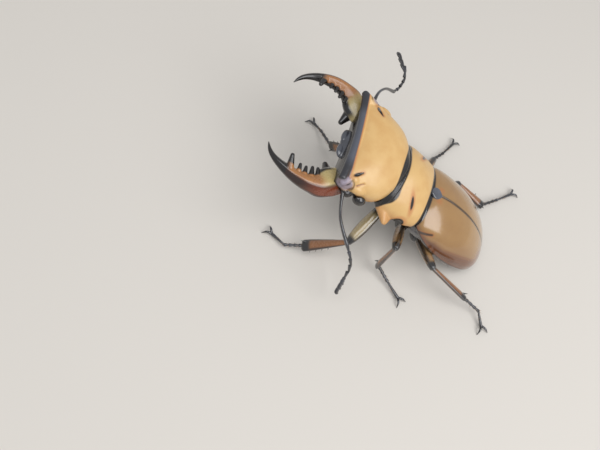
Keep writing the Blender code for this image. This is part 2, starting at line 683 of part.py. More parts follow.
def main():
    for old in list(bpy.data.objects):
        bpy.data.objects.remove(old)
    frames = make_frames()
    sides = ((1.0, "left"), (-1.0, "right"))
    head = make_head(frames)
    for side, word in sides:
        make_eye(frames, head, side, word)
    trunk = make_trunk(frames, head)
    jaws = [make_jaw(frames, head, side, word) for side, word in sides]
    make_mouth(frames, head, jaws)
    make_feeler(frames, head, "left", SCAPE_LEFT, LASH_LEFT, CLUB_TIP_LEFT)
    make_feeler(frames, head, "right", SCAPE_RIGHT, LASH_RIGHT, CLUB_TIP_RIGHT)
    for side, word in sides:
        make_wing_case(frames, trunk, side, word)
    for name in LEGS:
        make_leg(frames, name, trunk)
    for piece in bpy.context.scene.objects:
        piece.data.transform(Matrix.Scale(METRES, 4))
        piece.data.shade_smooth()
        piece.data.set_sharp_from_angle(angle=math.radians(40.0))


main()
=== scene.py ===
"""Looks of a still, life-size stag beetle: a large male with a broad crested head and sickle jaws.

Pieces are shaped in millimetres, in the frame of the part that carries them, and turned to metres
as each is finished. The beetle faces -Y, its left side is +X, and its claws stand on Z = 0.
"""

import json
import math

import bmesh
import bpy
import numpy as np
from bpy.props import FloatProperty, FloatVectorProperty, IntProperty, PointerProperty
from mathutils import Matrix, Vector


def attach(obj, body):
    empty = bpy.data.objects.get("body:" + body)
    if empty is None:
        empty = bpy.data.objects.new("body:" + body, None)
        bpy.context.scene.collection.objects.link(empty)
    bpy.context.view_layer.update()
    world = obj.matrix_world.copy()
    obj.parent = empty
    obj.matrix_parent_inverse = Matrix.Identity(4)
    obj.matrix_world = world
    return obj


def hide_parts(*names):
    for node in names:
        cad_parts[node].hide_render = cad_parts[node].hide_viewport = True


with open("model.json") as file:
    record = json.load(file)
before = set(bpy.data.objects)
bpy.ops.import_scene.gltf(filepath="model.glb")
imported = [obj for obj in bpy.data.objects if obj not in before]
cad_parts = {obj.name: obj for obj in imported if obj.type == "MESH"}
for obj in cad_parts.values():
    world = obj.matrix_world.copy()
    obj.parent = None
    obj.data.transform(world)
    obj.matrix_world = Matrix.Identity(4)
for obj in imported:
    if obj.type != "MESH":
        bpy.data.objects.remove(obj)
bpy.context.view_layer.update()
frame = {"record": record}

bl_info = {
    "name": "Stag beetle looks",
    "version": (1, 0, 0),
    "blender": (4, 5, 0),
    "location": "View3D > Sidebar > Beetle",
    "description": "Builds the visible pieces of a life-size stag beetle",
    "category": "Object",
}

MM = 0.001
BODY = "root"
TURN = 2.0 * math.pi
UP = Vector((0.0, 0.0, 1.0))
LENGTHWAYS = Vector((0.0, 1.0, 0.0))
SIDES = ((1.0, "left"), (-1.0, "right"))
GLB_SLOTS = {material["slot"] for material in frame["record"]["materials"]}

# Pose of the trunk: the fore end is raised, and the head dips a little against the neck shield.
# Angles are in degrees.
FLOOR_POINT = Vector((3.05, 4.675, 0.0))
SCUTELLUM_HEIGHT = 14.87                   # above the floor
WING_CASE_PITCH = 26.7
SHIELD_PITCH = 28.4
HEAD_PITCH = 19.2
WING_CASE_YAW = 1.1
HEAD_YAW = -0.7
TRUNK_ROLL = -2.1
HEAD_ROLL = -4.3
SHIELD_FROM_SCUTELLUM = (0.0, 1.6, 0.2)
HEAD_FROM_SHIELD = (0.0, 6.6, 0.4)

# Points round a trunk form, and steps from each of its rings to the next
TRUNK_SIDES = 96
TRUNK_STEPS = 8
# Trunk forms, hind end first: forward, half width, height of the widest line, top, underside,
# squareness of the section, lean of the ring and bow of its sides forward
HEAD_RINGS = (
    (-0.5, 2.0, -3.4, -1.6, -5.2, 2.0, 0.0, 0.0),
    (0.1, 3.8, -3.4, -0.1, -6.4, 2.0, 0.0, 0.0),
    (1.0, 5.6, -3.4, 0.35, -7.0, 2.1, 0.0, 0.0),
    (2.4, 7.2, -3.4, 0.7, -7.3, 2.2, 0.0, 0.0),
    (4.2, 8.0, -3.4, 0.9, -7.4, 2.3, 0.0, 0.0),
    (6.2, 8.4, -3.2, 0.9, -7.3, 2.4, 0.05, 0.1),
    (8.2, 8.8, -2.9, 0.45, -6.9, 2.6, 0.05, 0.3),
    (9.5, 8.7, -2.7, -0.15, -6.5, 2.8, 0.0, 0.5),
    (10.4, 8.4, -2.6, -0.8, -6.0, 3.0, 0.0, 0.7),
)
SHIELD_RINGS = (
    (0.0, 6.6, -3.3, 0.05, -6.6, 1.9, 0.0, -0.9),
    (1.0, 7.1, -3.8, 0.5, -7.2, 1.85, 0.0, -0.5),
    (2.2, 7.35, -4.2, 0.8, -7.5, 1.8, 0.0, -0.2),
    (3.6, 7.4, -4.3, 0.95, -7.6, 1.8, 0.0, 0.0),
    (5.0, 7.35, -4.4, 0.8, -7.5, 1.85, 0.0, 0.0),
    (6.2, 7.1, -4.4, 0.45, -7.2, 1.9, 0.0, 0.0),
    (7.4, 6.6, -4.4, -0.1, -6.8, 2.0, 0.0, 0.3),
)
CHEST_RINGS = (
    (-2.9, 6.4, -4.6, -0.75, -8.2, 2.2, 0.0, 0.0),
    (-1.5, 6.3, -4.5, -0.9, -8.2, 2.2, 0.0, 0.0),
    (0.0, 6.0, -4.4, -1.1, -7.9, 2.2, 0.0, 0.0),
    (1.4, 5.2, -4.2, -1.3, -7.4, 2.2, 0.0, 0.0),
    (2.6, 4.0, -4.0, -1.8, -6.6, 2.2, 0.0, 0.0),
)
BELLY_RINGS = (
    (-18.4, 0.9, -6.0, -5.4, -6.3, 2.0, 0.0, 0.0),
    (-17.9, 2.1, -6.0, -5.1, -6.7, 2.0, 0.0, 0.0),
    (-16.9, 3.5, -5.9, -4.4, -7.1, 2.0, 0.0, 0.0),
    (-15.2, 4.9, -5.8, -3.2, -7.6, 2.0, 0.0, 0.0),
    (-13.0, 6.0, -5.6, -2.0, -8.1, 2.1, 0.0, 0.0),
    (-10.5, 6.6, -5.3, -1.1, -8.5, 2.1, 0.0, 0.0),
    (-8.0, 6.8, -5.0, -0.6, -8.5, 2.2, 0.0, 0.0),
    (-5.5, 6.6, -4.6, -0.55, -8.3, 2.2, 0.0, 0.0),
    (-2.7, 6.3, -4.5, -0.75, -8.1, 2.2, 0.0, 0.0),
)
# Edges of the belly's plates, from the chest to the tail
BELLY_PLATES = (-7.5, -9.9, -12.1, -14.2, -16.2)
BELLY_PLATE_LENGTH = 2.0
BELLY_STEP = 0.16

# Wing case, tail first: forward, half width, height of the outer edge, height of the suture
WING_CASE_RINGS = (
    (-19.1, 1.3, -5.6, -5.15),
    (-18.85, 2.7, -5.75, -4.8),
    (-18.3, 3.9, -5.7, -4.15),
    (-17.0, 5.25, -5.6, -3.1),
    (-15.2, 6.3, -5.45, -1.95),
    (-13.0, 7.0, -5.3, -0.85),
    (-10.5, 7.55, -5.1, 0.05),
    (-8.0, 7.8, -4.85, 0.58),
    (-5.5, 7.75, -4.5, 0.79),
    (-3.0, 7.5, -3.9, 0.7),
    (-0.8, 7.0, -3.2, 0.25),
    (0.4, 6.4, -2.9, -0.2),
    (0.9, 5.6, -2.8, -0.5),
)
# Top of the brown band on the side: forward, and share of the height from the edge to the suture
SIDE_BAND = ((-18.0, 0.75), (-14.1, 0.62), (-9.8, 0.5), (-7.2, 0.4), (-4.4, 0.36), (-2.6, 0.2), (0.0, 0.1))
# Line of the dark streak below the shoulder: painted shade of a groove there
SHOULDER_SHADE_LINE = ((6.9, -0.5, -3.0), (6.93, -1.1, -2.6), (6.86, -1.85, -2.2), (6.6, -2.7, -1.8))
# Middle of the dark end of each wing case, and how its three directions count
TAIL_MARK = (2.7, -17.1, -3.6)
TAIL_MARK_STRETCH = (0.7, 1.0, 1.0)
WING_CASE_RIM = 0.5            # height of the turned-down edge
WING_CASE_ROLL = 0.1           # how far that edge is rolled out
WING_CASE_SEAM = 0.035         # half the hair-line left along the suture
WING_CASE_SINK = 0.025         # how far the suture lies below the dome

SCUTELLUM_SIZE = (1.1, 1.3)                # half width, half length
# Height, and share of the size
SCUTELLUM_RINGS = ((-0.7, 0.9), (0.1, 1.0), (0.19, 0.95), (0.23, 0.82), (0.22, 0.55), (0.2, 0.25))

# Neck shield: side corner, the round notch behind it and the bead round its edges
# The corner's rows run from the front: left, forward, up, half width, half depth
SHIELD_CORNER_PATH = (
    (5.8, 6.9, -4.7, 1.0, 0.9),
    (5.9, 6.2, -4.75, 1.5, 1.1),
    (6.0, 5.4, -4.8, 2.05, 1.15),
    (6.1, 4.7, -4.9, 2.5, 1.0),
    (6.2, 4.1, -5.0, 2.8, 0.85),
    (6.3, 3.6, -5.1, 2.65, 0.7),
)
SHIELD_NOTCH_PLACE = (8.1, 2.1, -4.8)
SHIELD_NOTCH_RADII = (1.35, 1.2, 2.0)
SHIELD_SIDES = 112                         # points round each of its rings
SHIELD_BEAD = 0.2
SHIELD_BEADED = ((0, 0.12), (-6, 0.0))     # rings that carry a bead, and how far below them it lies
SHIELD_BEAD_END = -4.6                     # how low the bead reaches on each side
SHIELD_FRONT_EDGE = 6.4                    # forward, where the black front band starts
SHIELD_HIND_EDGE = (0.22, 0.4)             # forward, where the black hind band fades
SHIELD_SPOT_PLACE = (4.8, 3.08)            # left, forward
SHIELD_SPOT_HALF_LENGTH = 1.1
SHIELD_SPOT_HALF_WIDTH = 0.27
SHIELD_SPOT_SLANT = 40.0                   # degrees

# Front of the head
CREST_HALF_WIDTH = 8.2
CREST_MIDDLE = (10.7, -1.0)                # forward, up
CREST_CORNER = (11.2, -1.3)
CREST_RADIUS = 0.72
CREST_SKEW = -0.06                         # forward for each millimetre left
# Tips of the lobes at the rim's left and right ends, and their root on the left
CREST_LOBES = ((8.35, 10.3, -1.85), (-8.45, 11.95, -1.25))
CREST_LOBE_ROOT = (7.6, 9.3, -1.7)
# Folds pressed into the left side, mirrored to the right, and their depths; the dark and deeper orange along
# them is painted shade
BROW_LINE = ((7.45, 9.35, -0.9), (6.75, 8.85, -0.55), (5.95, 8.0, -0.1))
CHEEK_LINE = ((8.9, 8.5, -2.5), (8.5, 8.25, -1.75), (8.0, 7.75, -1.15), (7.3, 6.95, -0.75))
LOBE_LINES = (
    ((7.7, 9.0, -0.8), (8.6, 9.2, -1.5), (9.2, 9.6, -2.4)),
    ((7.9, 11.0, -1.5), (8.7, 10.5, -2.0), (9.1, 9.6, -2.9)),
)
# Line where the ochre ends behind the rim, and how much it comes back for each millimetre left
CREST_EDGE = 10.55
CREST_EDGE_SLANT = 0.1
# Where the black neck band ends in the middle, and how its edge bends back to the sides
HEAD_COLLAR = (1.5, 1.75)
HEAD_COLLAR_BEND = 0.028
BROW_DEPTH = 0.34
CHEEK_DEPTH = 0.2
LOBE_LINE_DEPTH = 0.26
FOLD_WIDTH = 0.2
# Middles of the lobe's painted highlight and the feeler's dark socket, and how their three directions count
LOBE_SHEEN_MIDDLE = (8.3, 9.75, -1.95)
LOBE_SHEEN_STRETCH = (1.0, 0.85, 0.95)
SOCKET_MARK = (9.0, 7.9, -3.8)
SOCKET_MARK_STRETCH = (1.0, 0.7, 1.0)
# Cheek, feeler's socket, brow and the plate above the lip: place on the left side, and radii
HEAD_LUMPS = (
    ((7.9, 7.2, -2.1), (1.0, 1.75, 1.0)),
    ((8.7, 8.3, -3.4), (0.95, 1.2, 0.85)),
    ((7.1, 8.7, -1.0), (0.9, 1.0, 0.62)),
    ((1.5, 9.7, -3.2), (2.4, 1.0, 0.9)),
)
EYE_PLACE = (8.45, 5.25, -3.95)
EYE_RADII = (0.95, 1.2, 1.05)
# Lip, root first: left, forward, up, half width, half depth
LIP_PATH = (
    (0.0, 9.3, -4.1, 3.2, 0.9),
    (0.0, 10.4, -4.6, 3.1, 0.7),
    (0.0, 11.1, -5.0, 2.6, 0.5),
    (0.0, 11.4, -5.2, 1.9, 0.3),
)
# Low lumps on the lip: place of the left one, and radii
LIP_LUMPS = (
    ((1.35, 10.9, -4.9), (1.55, 1.0, 0.6)),
)
# Joints of the left palp: left, forward, up, radius
PALP_PATH = (
    (2.2, 8.0, -6.0, 0.42),
    (2.8, 8.7, -7.2, 0.4),
    (3.1, 8.9, -8.0, 0.36),
    (3.0, 9.0, -8.7, 0.3),
)

# Jaw of one side in the head's frame: left, forward, up, half width, half depth
JAW_PATH = (
    (6.8, 9.6, -4.9, 2.3, 1.6),
    (7.9, 11.1, -5.1, 2.5, 1.8),
    (9.25, 12.5, -5.25, 2.1, 1.7),
    (9.85, 14.1, -5.25, 1.6, 1.35),
    (10.05, 15.8, -5.35, 1.35, 1.15),
    (9.9, 17.4, -5.55, 1.15, 0.98),
    (9.5, 19.0, -5.85, 0.9, 0.8),
    (8.95, 20.4, -6.2, 0.66, 0.6),
    (8.25, 21.5, -6.55, 0.48, 0.45),
    (7.4, 22.25, -6.8, 0.33, 0.32),
    (6.35, 22.8, -7.0, 0.1, 0.1),
)
# How far the ridge on top stands in from the widest line, as a share of the half width
JAW_SLOPE = 0.52
# Root, tip, and radius at each end
JAW_TEETH = (
    ((6.9, 11.4, -5.5), (4.5, 12.2, -6.5), 1.25, 0.5),
    ((8.6, 13.3, -4.9), (7.1, 13.9, -4.65), 0.55, 0.3),
    ((8.9, 14.5, -4.9), (7.45, 14.9, -4.65), 0.55, 0.3),
    ((9.2, 15.7, -4.95), (8.0, 15.95, -4.7), 0.5, 0.28),
    ((9.2, 16.8, -5.0), (8.1, 17.05, -4.7), 0.46, 0.26),
    ((9.3, 18.35, -5.3), (7.45, 18.95, -4.65), 0.7, 0.36),
)

# Feelers in the head's frame
SCAPES = {
    "left": ((8.0, 9.3, -2.9), (11.1, 8.0, -4.1), (12.9, 6.3, -5.5), (15.2, 3.0, -7.1)),
    "right": ((-8.0, 9.3, -2.9), (-11.8, 8.8, -3.2), (-14.5, 7.2, -4.2), (-16.4, 4.7, -5.8)),
}
LASHES = {
    "left": ((15.2, 3.0, -7.1), (16.4, 1.2, -8.1), (17.4, 0.0, -9.3), (18.9, -0.7, -11.2)),
    "right": ((-16.4, 4.7, -5.8), (-17.8, 3.9, -6.0), (-20.0, 3.4, -5.9), (-21.9, 3.8, -5.8)),
}
CLUB_TIPS = {"left": (20.9, -1.3, -13.6), "right": (-25.2, 5.7, -6.5)}
SCAPE_RADII = (0.42, 0.27, 0.27, 0.36)
LASH_JOINTS = 6
LASH_RADIUS = 0.3565
LASH_OVERLAP = 1.02
BEAD_TAPER = 0.55                          # a bead's far end as a share of its radius
CLUB_BLADES = 3

# Legs: hip in the frame that carries it, then knee, shin's end, fourth joint of the foot and
# foot's end as places round the floor point
LEGS = {
    "fore_left": ("shield", (3.7, 3.4, -7.1), (11.0, -11.6, 6.9), (12.3, -18.5, 2.3),
                  (12.9, -21.9, 1.0), (11.3, -24.9, 0.55)),
    "fore_right": ("shield", (-3.7, 3.4, -7.1), (-7.8, -14.1, 8.1), (-10.6, -19.2, 2.1),
                   (-14.2, -22.1, 0.9), (-15.6, -24.0, 0.55)),
    "mid_left": ("cases", (3.9, -0.5, -7.9), (11.0, -4.0, 10.8), (10.8, -4.3, 2.3),
                 (12.7, -1.6, 1.1), (15.0, 1.3, 0.55)),
    "mid_right": ("cases", (-3.9, -0.5, -7.9), (-12.4, 0.1, 7.6), (-16.7, 1.4, 1.1),
                  (-20.0, 3.7, 0.8), (-23.5, 5.5, 0.55)),
    "hind_left": ("cases", (3.6, -4.9, -8.3), (10.3, 4.4, 7.5), (11.7, 12.5, 3.6),
                  (12.2, 16.6, 1.5), (14.6, 18.0, 0.55)),
    "hind_right": ("cases", (-3.6, -4.9, -8.3), (-11.4, 7.0, 4.5), (-10.7, 13.6, 1.4),
                   (-13.7, 16.9, 0.8), (-16.6, 19.9, 0.55)),
}
HIP_RADII = (1.7, 1.3, 1.2)
# Half width and half depth along each limb, from the body outwards
THIGH_SIZES = ((0.7, 0.6), (1.05, 0.85), (1.15, 0.9), (0.95, 0.8), (0.62, 0.6))
SHIN_SIZES = ((0.42, 0.42), (0.55, 0.45), (0.66, 0.48), (0.8, 0.52), (0.85, 0.5))
FORE_SHIN_SIZES = ((0.45, 0.42), (0.65, 0.48), (0.85, 0.5), (1.05, 0.52), (1.1, 0.5))
# Light band of each limb: where it starts and ends, as shares of the way down
THIGH_BAND = (0.3, 0.86)
SHIN_BAND = (0.1, 0.84)
SHIN_SPINES = {"fore": 4, "mid": 2, "hind": 1}
SHIN_SPINE_LENGTH = 0.5
SHIN_SPINE_RADIUS = 0.2
SHIN_SPUR_LENGTH = 0.95
BRISTLE_RADII = (0.028, 0.004)             # root, tip
BRISTLE_SCALES = (0.55, 1.1)               # smallest and largest share of the length
BRISTLE_LEAN = 0.9
FOOT_JOINTS = 4
FOOT_JOINT_SIZES = ((0.2, 0.19), (0.24, 0.22), (0.33, 0.29), (0.35, 0.29))
LAST_JOINT_SIZES = ((0.2, 0.2), (0.22, 0.22), (0.28, 0.27), (0.34, 0.31))
CLAW_LENGTH = 1.65
CLAW_SPREAD = 42.0                         # degrees to each side
CLAW_RADIUS = 0.25
CLAW_TIP_RADIUS = 0.06
CLAW_ARCH = 0.35

# Patterns in the horn, in millimetres
CLOUD_SIZE = 2.6
GRAIN_SIZE = 0.35
PIT_DEPTH = 0.02
FACET_SIZE = 0.14
FACET_DEPTH = 0.01

# Camera round the floor point, aimed at a place on the floor and rolled as it was held
CAMERA_PLACE = (69.957, -30.394, 115.094)
CAMERA_TARGET = (7.347, -20.152, 0.0)
CAMERA_ROLL = 28.43                        # degrees
CAMERA_LENS = 41.86
# Lights: direction they come from, distance and size in metres, turn about it in degrees, and colour.
# They aim at the middle of the body, this high in metres.
LAMP_AIM = 0.012
LAMPS = {
    "window": ((0.34, 0.54, 0.77), 0.36, (0.25, 0.4), -33.0, (0.97, 0.98, 1.0)),
    "skylight": ((0.28, -0.22, 0.93), 0.36, (0.2, 0.2), 0.0, (0.95, 0.97, 1.0)),
}
SKY = "#E9EBEF"
FLOOR_HALF = 1.5                           # metres


def linear(code):
    """Linear red, green and blue of an sRGB hex colour."""
    channels = [int(code[i:i + 2], 16) / 255.0 for i in (1, 3, 5)]
    return tuple(c / 12.92 if c <= 0.04045 else ((c + 0.055) / 1.055) ** 2.4 for c in channels)


def colour(name, code, words):
    """Colour property with an sRGB hex default."""
    return FloatVectorProperty(name=name, description=words, subtype="COLOR", size=3, min=0.0, max=1.0,
                               default=linear(code))


class BeetleColours(bpy.types.PropertyGroup):
    """Colours of the horn, as they look in daylight; a few of them hold painted reflection, highlights and
    shade
    """

    ochre: colour("Ochre", "#D6AE70", "Top of the head and neck shield")
    ochre_deep: colour("Deep ochre", "#B97E36", "Shaded and thicker parts of the ochre horn")
    # Halo also paints shade: the deeper orange low on the head and shield, round the folds and below the wing
    # cases' shoulder.
    halo: colour("Halo", "#B4602A", "Thin orange line where ochre meets black")
    tan: colour("Tan", "#A27C49", "Middle of the wing cases")
    tan_deep: colour("Deep tan", "#6A3A16", "Lower sides and tail of the wing cases")
    amber: colour("Amber", "#9A673C", "Upper face of the jaws")
    jaw_side: colour("Jaw side", "#72300F", "Outer side of the jaws")
    jaw_base: colour("Jaw base", "#B5A068", "Root of the jaws beside the crest")
    black: colour("Black", "#17120F", "Crest, teeth, spots, edges and feet")
    # Painted reflection: the blue-grey that the pale room gives glossy black horn.
    slate: colour("Slate", "#51545E", "Blue-grey crest and lip")
    leg: colour("Leg", "#8E5C30", "Light bands of the legs")
    # Thigh is darkened by a painted shadow: the head's shade on the near fore thigh.
    thigh: colour("Thigh", "#A5926A", "Light band of the thighs")
    # Painted highlight: the pale gloss of the side lobes, as a colour.
    lilac: colour("Lilac", "#8F8390", "Pale gloss of the lobes at the crest's ends")
    belly: colour("Belly", "#4A2A14", "Plates of the underside")
    bristle: colour("Bristle", "#8A5A22", "Stiff hairs of the feet")
    floor: colour("Floor", "#D3CDC4", "Plain floor")


class BeetleSizes(bpy.types.PropertyGroup):
    """Sizes of the surface detail, and the strength of the lights"""

    skin_grain: FloatProperty(name="Skin grain", default=0.12, min=0.08, max=0.4,
                              description="Fineness of the head's and shield's skins, in millimetres")
    jaw_grain: FloatProperty(name="Jaw grain", default=0.075, min=0.05, max=0.3,
                             description="Fineness of the jaws' skins, in millimetres")
    pit_spacing: FloatProperty(name="Pit spacing", default=0.3, min=0.1, max=2.0,
                               description="Distance between the fine pits of the horn, in millimetres")
    bristle_length: FloatProperty(name="Bristle length", default=0.55, min=0.1, max=2.0,
                                  description="Length of a stiff hair on the feet, in millimetres")
    bristle_density: FloatProperty(name="Bristle density", default=5.0, min=0.0, max=20.0,
                                   description="Stiff hairs on a square millimetre")
    seed: IntProperty(name="Seed", default=5, min=0, description="Scatter of the bristles")
    window_power: FloatProperty(name="Window", default=0.97, min=0.0, max=50.0,
                                description="Power of the large light, in watts")
    skylight_power: FloatProperty(name="Skylight", default=0.33, min=0.0, max=50.0,
                                  description="Power of the small light overhead, in watts")
    sky_power: FloatProperty(name="Sky", default=0.6, min=0.0, max=10.0,
                             description="Strength of the pale surroundings")


def body_frame(origin, pitch, yaw, roll):
    """Matrix from left, forward and up in a part's own frame to the model's space."""
    pitch = math.radians(pitch)
    roll = math.radians(roll)
    left = Vector((1.0, 0.0, 0.0))
    forward = Vector((0.0, -math.cos(pitch), math.sin(pitch)))
    up = Vector((0.0, math.sin(pitch), math.cos(pitch)))
    rolled_left = left * math.cos(roll) + up * math.sin(roll)
    rolled_up = up * math.cos(roll) - left * math.sin(roll)
    turn = Matrix.Rotation(math.radians(yaw), 3, "Z")
    axes = Matrix((turn @ rolled_left, turn @ forward, turn @ rolled_up)).transposed()
    placed = axes.to_4x4()
    placed.translation = origin
    return placed


def make_frames():
    """Frames of the wing cases, the neck shield and the head, each set on the one behind it."""
    scutellum = FLOOR_POINT + Vector((0.0, 0.0, SCUTELLUM_HEIGHT))
    cases = body_frame(scutellum, WING_CASE_PITCH, WING_CASE_YAW, TRUNK_ROLL)
    level = body_frame(scutellum, WING_CASE_PITCH, 0.0, 0.0)
    shield_origin = level @ Vector(SHIELD_FROM_SCUTELLUM)
    shield = body_frame(shield_origin, SHIELD_PITCH, 0.0, TRUNK_ROLL)
    level = body_frame(shield_origin, SHIELD_PITCH, 0.0, 0.0)
    head = body_frame(level @ Vector(HEAD_FROM_SHIELD), HEAD_PITCH, HEAD_YAW, HEAD_ROLL)
    return {"cases": cases, "shield": shield, "head": head}


FRAMES = make_frames()


def smooth(rows, steps):
    """Rows on a smooth curve through the given rows, with this many steps from each to the next."""
    rows = [Vector(row) for row in rows]
    last = len(rows) - 1
    result = []
    for index in range(last):
        before = rows[max(index - 1, 0)]
        start = rows[index]
        end = rows[index + 1]
        after = rows[min(index + 2, last)]
        for step in range(steps):
            t = step / steps
            slope_in = (end - before) * 0.5
            slope_out = (after - start) * 0.5
            rise = 3.0 * t * t - 2.0 * t ** 3
            result.append(
                start * (1.0 - rise)
                + end * rise
                + slope_in * (t ** 3 - 2.0 * t * t + t)
                + slope_out * (t ** 3 - t * t)
            )
    result.append(rows[last])
    return result


def power_of(value, squareness):
    """Signed power that gives a superellipse its round or square corners."""
    return math.copysign(abs(value) ** (2.0 / squareness), value)


def trunk_ring(row, sides):
    """One closed cross-section of a trunk form, in its own frame."""
    forward, width, level, top, under, squareness, lean, bow = row
    ring = []
    for index in range(sides):
        angle = TURN * index / sides
        across = power_of(math.cos(angle), squareness)
        rise = power_of(math.sin(angle), squareness)
        height = (top - level) if rise > 0.0 else (level - under)
        up = level + height * rise
        ring.append(Vector((width * across, forward + lean * (level - up) + bow * across ** 2, up)))
    return ring


def on_side(place, side):
    """A place that is given for the left side, on the side of this sign."""
    return Vector((side * place[0], place[1], place[2]))


def between(start, end, shares):
    """Places at these shares of the way from start to end."""
    return [start.lerp(end, share) for share in shares]


def round_section(angle):
    """Point of a round section, as shares of its half width and half depth."""
    return math.cos(angle), math.sin(angle)


def sweep(path, sizes, over, sides, section=round_section):
    """Rings round a path; sizes are half width and half depth of the section."""
    rings = []
    last = len(path) - 1
    for index, point in enumerate(path):
        along = (path[min(index + 1, last)] - path[max(index - 1, 0)]).normalized()
        across = along.cross(over).normalized()
        up = across.cross(along)
        width, depth = sizes[index]
        ring = []
        for side in range(sides):
            a, b = section(TURN * side / sides)
            ring.append(point + across * width * a + up * depth * b)
        rings.append(ring)
    return rings


def round_ended(path, sizes, reach=(1.0, 1.0)):
    """Path and sizes with a rounded cap at each end; reach is a cap's length for its half width."""
    path = list(path)
    sizes = list(sizes)
    steps = (0.35, 0.65, 0.87, 0.98)
    for end, inner, share in ((0, 1, reach[0]), (-1, -2, reach[1])):
        along = (path[end] - path[inner]).normalized()
        place = path[end].copy()
        width, depth = sizes[end]
        for step in steps:
            slim = math.sqrt(1.0 - step * step)
            point = place + along * step * share * width
            size = (width * slim, depth * slim)
            if end == 0:
                path.insert(0, point)
                sizes.insert(0, size)
            else:
                path.append(point)
                sizes.append(size)
    return path, sizes


def shell(rings):
    """Points and faces of a closed skin through rings of equal count, with a fan at each end."""
    count = len(rings[0])
    points = [point for ring in rings for point in ring]
    faces = []
    for row in range(len(rings) - 1):
        for index in range(count):
            following = (index + 1) % count
            a = row * count + index
            b = row * count + following
            faces.append((a, b, b + count, a + count))
    for row in (0, len(rings) - 1):
        middle = sum(rings[row], Vector()) / count
        points.append(middle)
        hub = len(points) - 1
        for index in range(count):
            faces.append((row * count + index, row * count + (index + 1) % count, hub))
    return points, faces


def rounded(path, sizes, over, sides, reach=(1.0, 1.0), section=round_section):
    """Closed skin along a path, with a rounded cap at each end."""
    path, sizes = round_ended(path, sizes, reach)
    return shell(sweep(path, sizes, over, sides, section))


def rounded_rows(rows, over, sides, reach=(1.0, 1.0), section=round_section):
    """Closed skin along rows of place, half width and half depth; a row of four is as deep as it is wide."""
    path = [Vector(row[:3]) for row in rows]
    return rounded(path, [(row[3], row[-1]) for row in rows], over, sides, reach, section)


def spike(root, tip, radius, sides=10, rows=6):
    """Tapered point with a round tip."""
    path = []
    sizes = []
    for row in range(rows + 1):
        share = row / rows
        path.append(root.lerp(tip, share))
        size = radius * (1.0 - share) ** 0.8 + radius * 0.06
        sizes.append((size, size))
    along = (tip - root).normalized()
    over = UP if abs(along.z) < 0.9 else LENGTHWAYS
    return shell(sweep(path, sizes, over, sides))


def peg(root, tip, radius, end_radius, flat=1.0, sides=20):
    """Blunt peg; flat thins it upwards."""
    shares = (0.0, 0.2, 0.4, 0.6, 0.8, 1.0)
    widths = [radius + (end_radius - radius) * share for share in shares]
    sizes = [(width, width * flat) for width in widths]
    return rounded(between(root, tip, shares), sizes, UP, sides, (0.5, 0.9))


def dome(place, radii, rows=24, sides=40):
    """Ellipsoid with its poles along its first axis."""
    rings = []
    for row in range(1, rows):
        angle = math.pi * row / rows
        ring = []
        for side in range(sides):
            turn = TURN * side / sides
            ring.append(place + Vector((
                radii[0] * math.cos(angle),
                radii[1] * math.sin(angle) * math.cos(turn),
                radii[2] * math.sin(angle) * math.sin(turn),
            )))
        rings.append(ring)
    points, faces = shell(rings)
    points[-2] = place + Vector((radii[0], 0.0, 0.0))
    points[-1] = place - Vector((radii[0], 0.0, 0.0))
    return points, faces


def put(name, data):
    """New object with this data, in the scene."""
    item = bpy.data.objects.new(name, data)
    bpy.context.scene.collection.objects.link(item)
    return item


def make_object(name, shells, place=None):
    """Object of closed shells, in millimetres, set in the given frame."""
    maker = bmesh.new()
    for points, faces in shells:
        verts = [maker.verts.new(place @ point if place else point) for point in points]
        for face in faces:
            maker.faces.new([verts[index] for index in face])
    bmesh.ops.recalc_face_normals(maker, faces=maker.faces)
    mesh = bpy.data.meshes.new(name)
    maker.to_mesh(mesh)
    maker.free()
    mesh.shade_smooth()
    return put(name, mesh)


def settle(piece):
    """Turn the piece's modifiers into its own mesh."""
    view = bpy.context.evaluated_depsgraph_get()
    mesh = bpy.data.meshes.new_from_object(piece.evaluated_get(view))
    piece.modifiers.clear()
    piece.data = mesh
    mesh.name = piece.name
    mesh.shade_smooth()


def fuse(piece, grain, rounds, cutters=()):
    """Make one skin of the piece's shells, cut by the cutters, in cells of this many millimetres."""
    for cutter in cutters:
        cut = piece.modifiers.new("cut", "BOOLEAN")
        cut.operation = "DIFFERENCE"
        cut.solver = "EXACT"
        cut.object = cutter
    remesh = piece.modifiers.new("fuse", "REMESH")
    remesh.mode = "VOXEL"
    remesh.voxel_size = grain
    relax = piece.modifiers.new("relax", "SMOOTH")
    relax.factor = 0.5
    relax.iterations = rounds
    settle(piece)
    for cutter in cutters:
        bpy.data.objects.remove(cutter)


def places(piece, place=None):
    """The piece's points as columns, in the given frame."""
    points = np.empty(len(piece.data.vertices) * 3, np.float32)
    piece.data.vertices.foreach_get("co", points)
    points = points.reshape(-1, 3).astype(float)
    if place:
        back = np.array(place.inverted())
        points = points @ back[:3, :3].T + back[:3, 3]
    return points[:, 0], points[:, 1], points[:, 2]


def carve(piece, depths):
    """Press the surface in by these depths; a negative depth raises it."""
    normals = np.empty(len(piece.data.vertices) * 3, np.float32)
    points = np.empty(len(piece.data.vertices) * 3, np.float32)
    piece.data.vertex_normals.foreach_get("vector", normals)
    piece.data.vertices.foreach_get("co", points)
    points -= normals * np.repeat(depths, 3).astype(np.float32)
    piece.data.vertices.foreach_set("co", points)
    piece.data.update()


def mark(piece, name, values):
    """Keep a share from 0 to 1 for each point, which the material reads by name."""
    attribute = piece.data.attributes.new(name, "FLOAT", "POINT")
    attribute.data.foreach_set("value", np.clip(values, 0.0, 1.0).astype(np.float32))


def ease(values, low, high):
    """Smooth step from 0 at low to 1 at high."""
    share = np.clip((values - low) / (high - low), 0.0, 1.0)
    return share * share * (3.0 - 2.0 * share)


